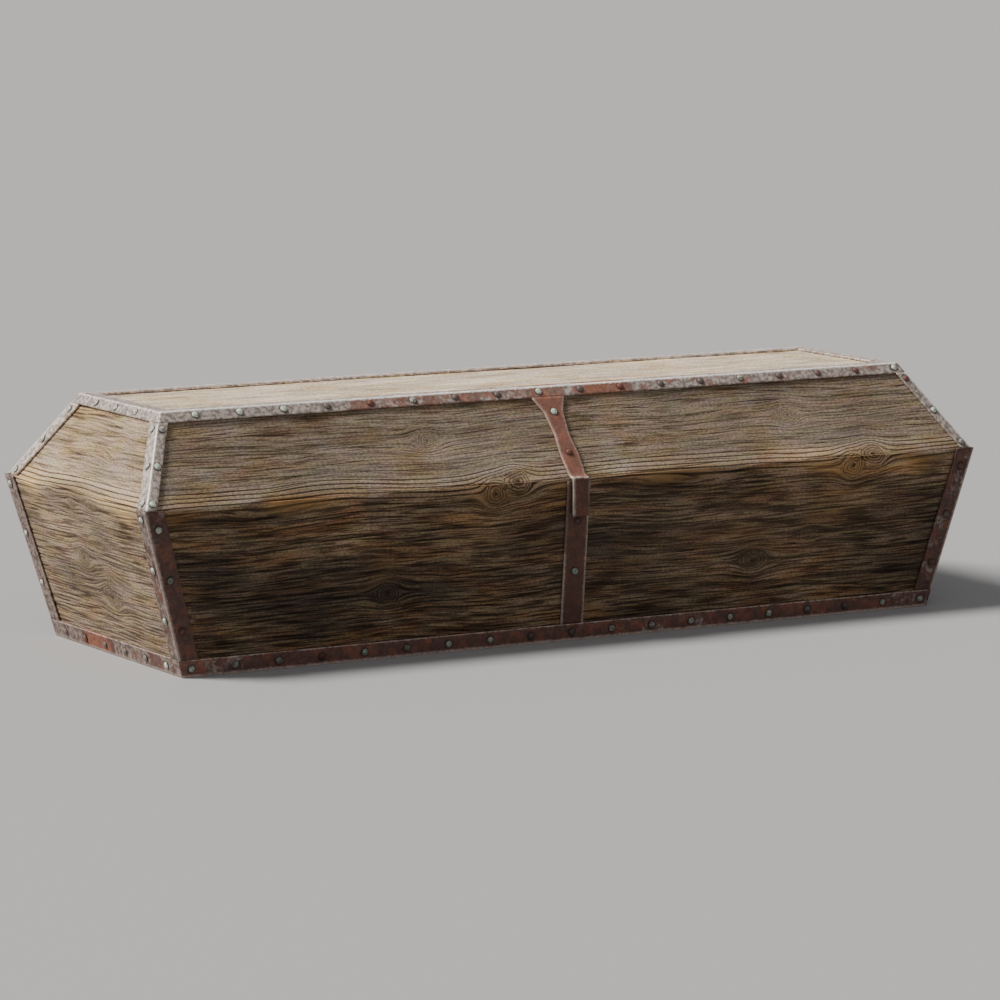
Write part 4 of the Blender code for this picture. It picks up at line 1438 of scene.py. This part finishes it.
# %% Rivets
HEAD_FOOT = -0.15
riveting, given = new_group(
    "set_rivets",
    "GeometryNodeTree",
    {"Geometry": "Geometry", "Lean": "Float", "Least Size": "Float", "Dents": "Float", "Seed": "Int",
     "Material": "Material"},
    {"Geometry": "Geometry"},
)
sphere = riveting.add("GeometryNodeMeshUVSphere", {"Segments": 14, "Rings": 8, "Radius": 1.0})
position = riveting.add("GeometryNodeInputPosition", {})
level = riveting.math("MAXIMUM", riveting.part(position, 2), HEAD_FOOT)
flattened = {0: riveting.part(position, 0), 1: riveting.part(position, 1), 2: level}
dome = riveting.add(
    "GeometryNodeSetPosition",
    {"Geometry": sphere, "Position": riveting.add("ShaderNodeCombineXYZ", flattened)},
)
dome = riveting.add("GeometryNodeStoreNamedAttribute", {"Geometry": dome, "Name": "rise", "Value": level})
random_lean = riveting.add(
    "FunctionNodeRandomValue",
    {0: riveting.scale((-1, -1, 0), given["Lean"]), 1: riveting.scale((1, 1, 0), given["Lean"]),
     "Seed": given["Seed"]},
    data_type="FLOAT_VECTOR",
)
random_size = riveting.add(
    "FunctionNodeRandomValue",
    {2: given["Least Size"], 3: 1.0, "Seed": given["Seed"]},
    1,
    data_type="FLOAT",
)
outwards = named(riveting, "outwards", "FLOAT_VECTOR")
upright = riveting.add("FunctionNodeAlignRotationToVector", {"Vector": outwards}, axis="Z")
lean = riveting.add("FunctionNodeEulerToRotation", {0: random_lean})
leaning = riveting.add("FunctionNodeRotateRotation", {0: upright, 1: lean}, rotation_space="LOCAL")
heads = riveting.add(
    "GeometryNodeInstanceOnPoints",
    {"Points": given["Geometry"], "Instance": dome, "Rotation": leaning,
     "Scale": riveting.scale(named(riveting, "size", "FLOAT_VECTOR"), random_size)},
)
real = riveting.add("GeometryNodeRealizeInstances", {"Geometry": heads})
set_place = riveting.add("GeometryNodeInputPosition", {})
dent = riveting.smooth(riveting.noise(set_place, even(190), 1, 5.9), 0.4, 0.7)
inward = riveting.times(riveting.times(dent, given["Dents"]), -1.0)
offset = riveting.scale(riveting.add("GeometryNodeInputNormal", {}), inward)
dented = riveting.add("GeometryNodeSetPosition", {"Geometry": real, "Offset": offset})
smooth = riveting.add("GeometryNodeSetShadeSmooth", {"Geometry": dented})
finished = riveting.add("GeometryNodeSetMaterial", {"Geometry": smooth, "Material": given["Material"]})
riveting.add("NodeGroupOutput", {"Geometry": finished})
SET_RIVETS = riveting.tree
print("the riveting tree has", len(SET_RIVETS.nodes), "nodes")

# %% Rivet material
VERDIGRIS = tone(140, 166, 146)
VERDIGRIS_LIGHT = tone(222, 224, 208)
RIVET_IRON = tone(104, 92, 88)
RIVET_RUST = tone(112, 68, 56)
# The dark foot colour is painted shade where the head meets the iron.
RIVET_FOOT_SHADE = tone(64, 52, 46)
IRON_FROM = (0.40, 0.50)
PALE_FROM = (0.65, 0.95)
FOOT_SHADE_UP_TO = (0.1, 0.45)


def rivet_material():
    """Pale verdigris or rust, by each rivet's own tone, with painted shade round the foot."""
    material, wiring, shader = shader_tree("rivet_heads")
    place = wiring.add("ShaderNodeTexCoord", {}, "Object")
    patches = wiring.noise(place, even(300), 3, 13.7)
    pale = wiring.mix(wiring.smooth(patches, 0.4, 0.6), VERDIGRIS, VERDIGRIS_LIGHT)
    spread = wiring.times_plus(patches, 0.4, attribute(wiring, "tone"))
    colour = wiring.mix(wiring.smooth(spread, *IRON_FROM), RIVET_RUST, RIVET_IRON)
    colour = wiring.mix(wiring.smooth(spread, *PALE_FROM), colour, pale)
    # Each rivet's light is painted light and shade, by its wall and below the hasp's bend.
    colour = wiring.scale(colour, attribute(wiring, "light"))
    foot = wiring.smooth(attribute(wiring, "rise"), *FOOT_SHADE_UP_TO, 1.0, 0.0)
    joined(wiring, shader, {
        "Base Color": wiring.mix(foot, colour, RIVET_FOOT_SHADE),
        "Roughness": wiring.smooth(patches, 0.3, 0.7, 0.5, 0.8),
    })
    return material


RIVET_MATERIAL = rivet_material()

# %% Setting the rivets
HEAD_RADIUS = 0.008
SMALL_RADIUS = 0.005
RIVET_VALUES = {"Lean": 0.07, "Least Size": 0.9, "Dents": 0.0004, "Seed": RIVET_SEED}


def set_rivets(name, heads):
    """One piece with all the rivets of a slot."""
    piece = add_piece(name, [head.top - head.outwards * head.height for head in heads], [])
    store(piece, "outwards", [head.outwards for head in heads])
    radii = [HEAD_RADIUS if head.height > LARGE_HEAD else SMALL_RADIUS for head in heads]
    sizes = [(radius, radius, head.height) for radius, head in zip(radii, heads)]
    store(piece, "size", sizes)
    store(piece, "tone", [head.tone for head in heads])
    store(piece, "light", [head.light for head in heads])
    bake(piece, SET_RIVETS, {**RIVET_VALUES, "Material": RIVET_MATERIAL})
    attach(piece, "root")
    print(name, "has", triangles(piece), "triangles in", len(heads), "rivets")


for slot, heads in HEADS.items():
    set_rivets(slot.replace("iron", "rivets"), heads)
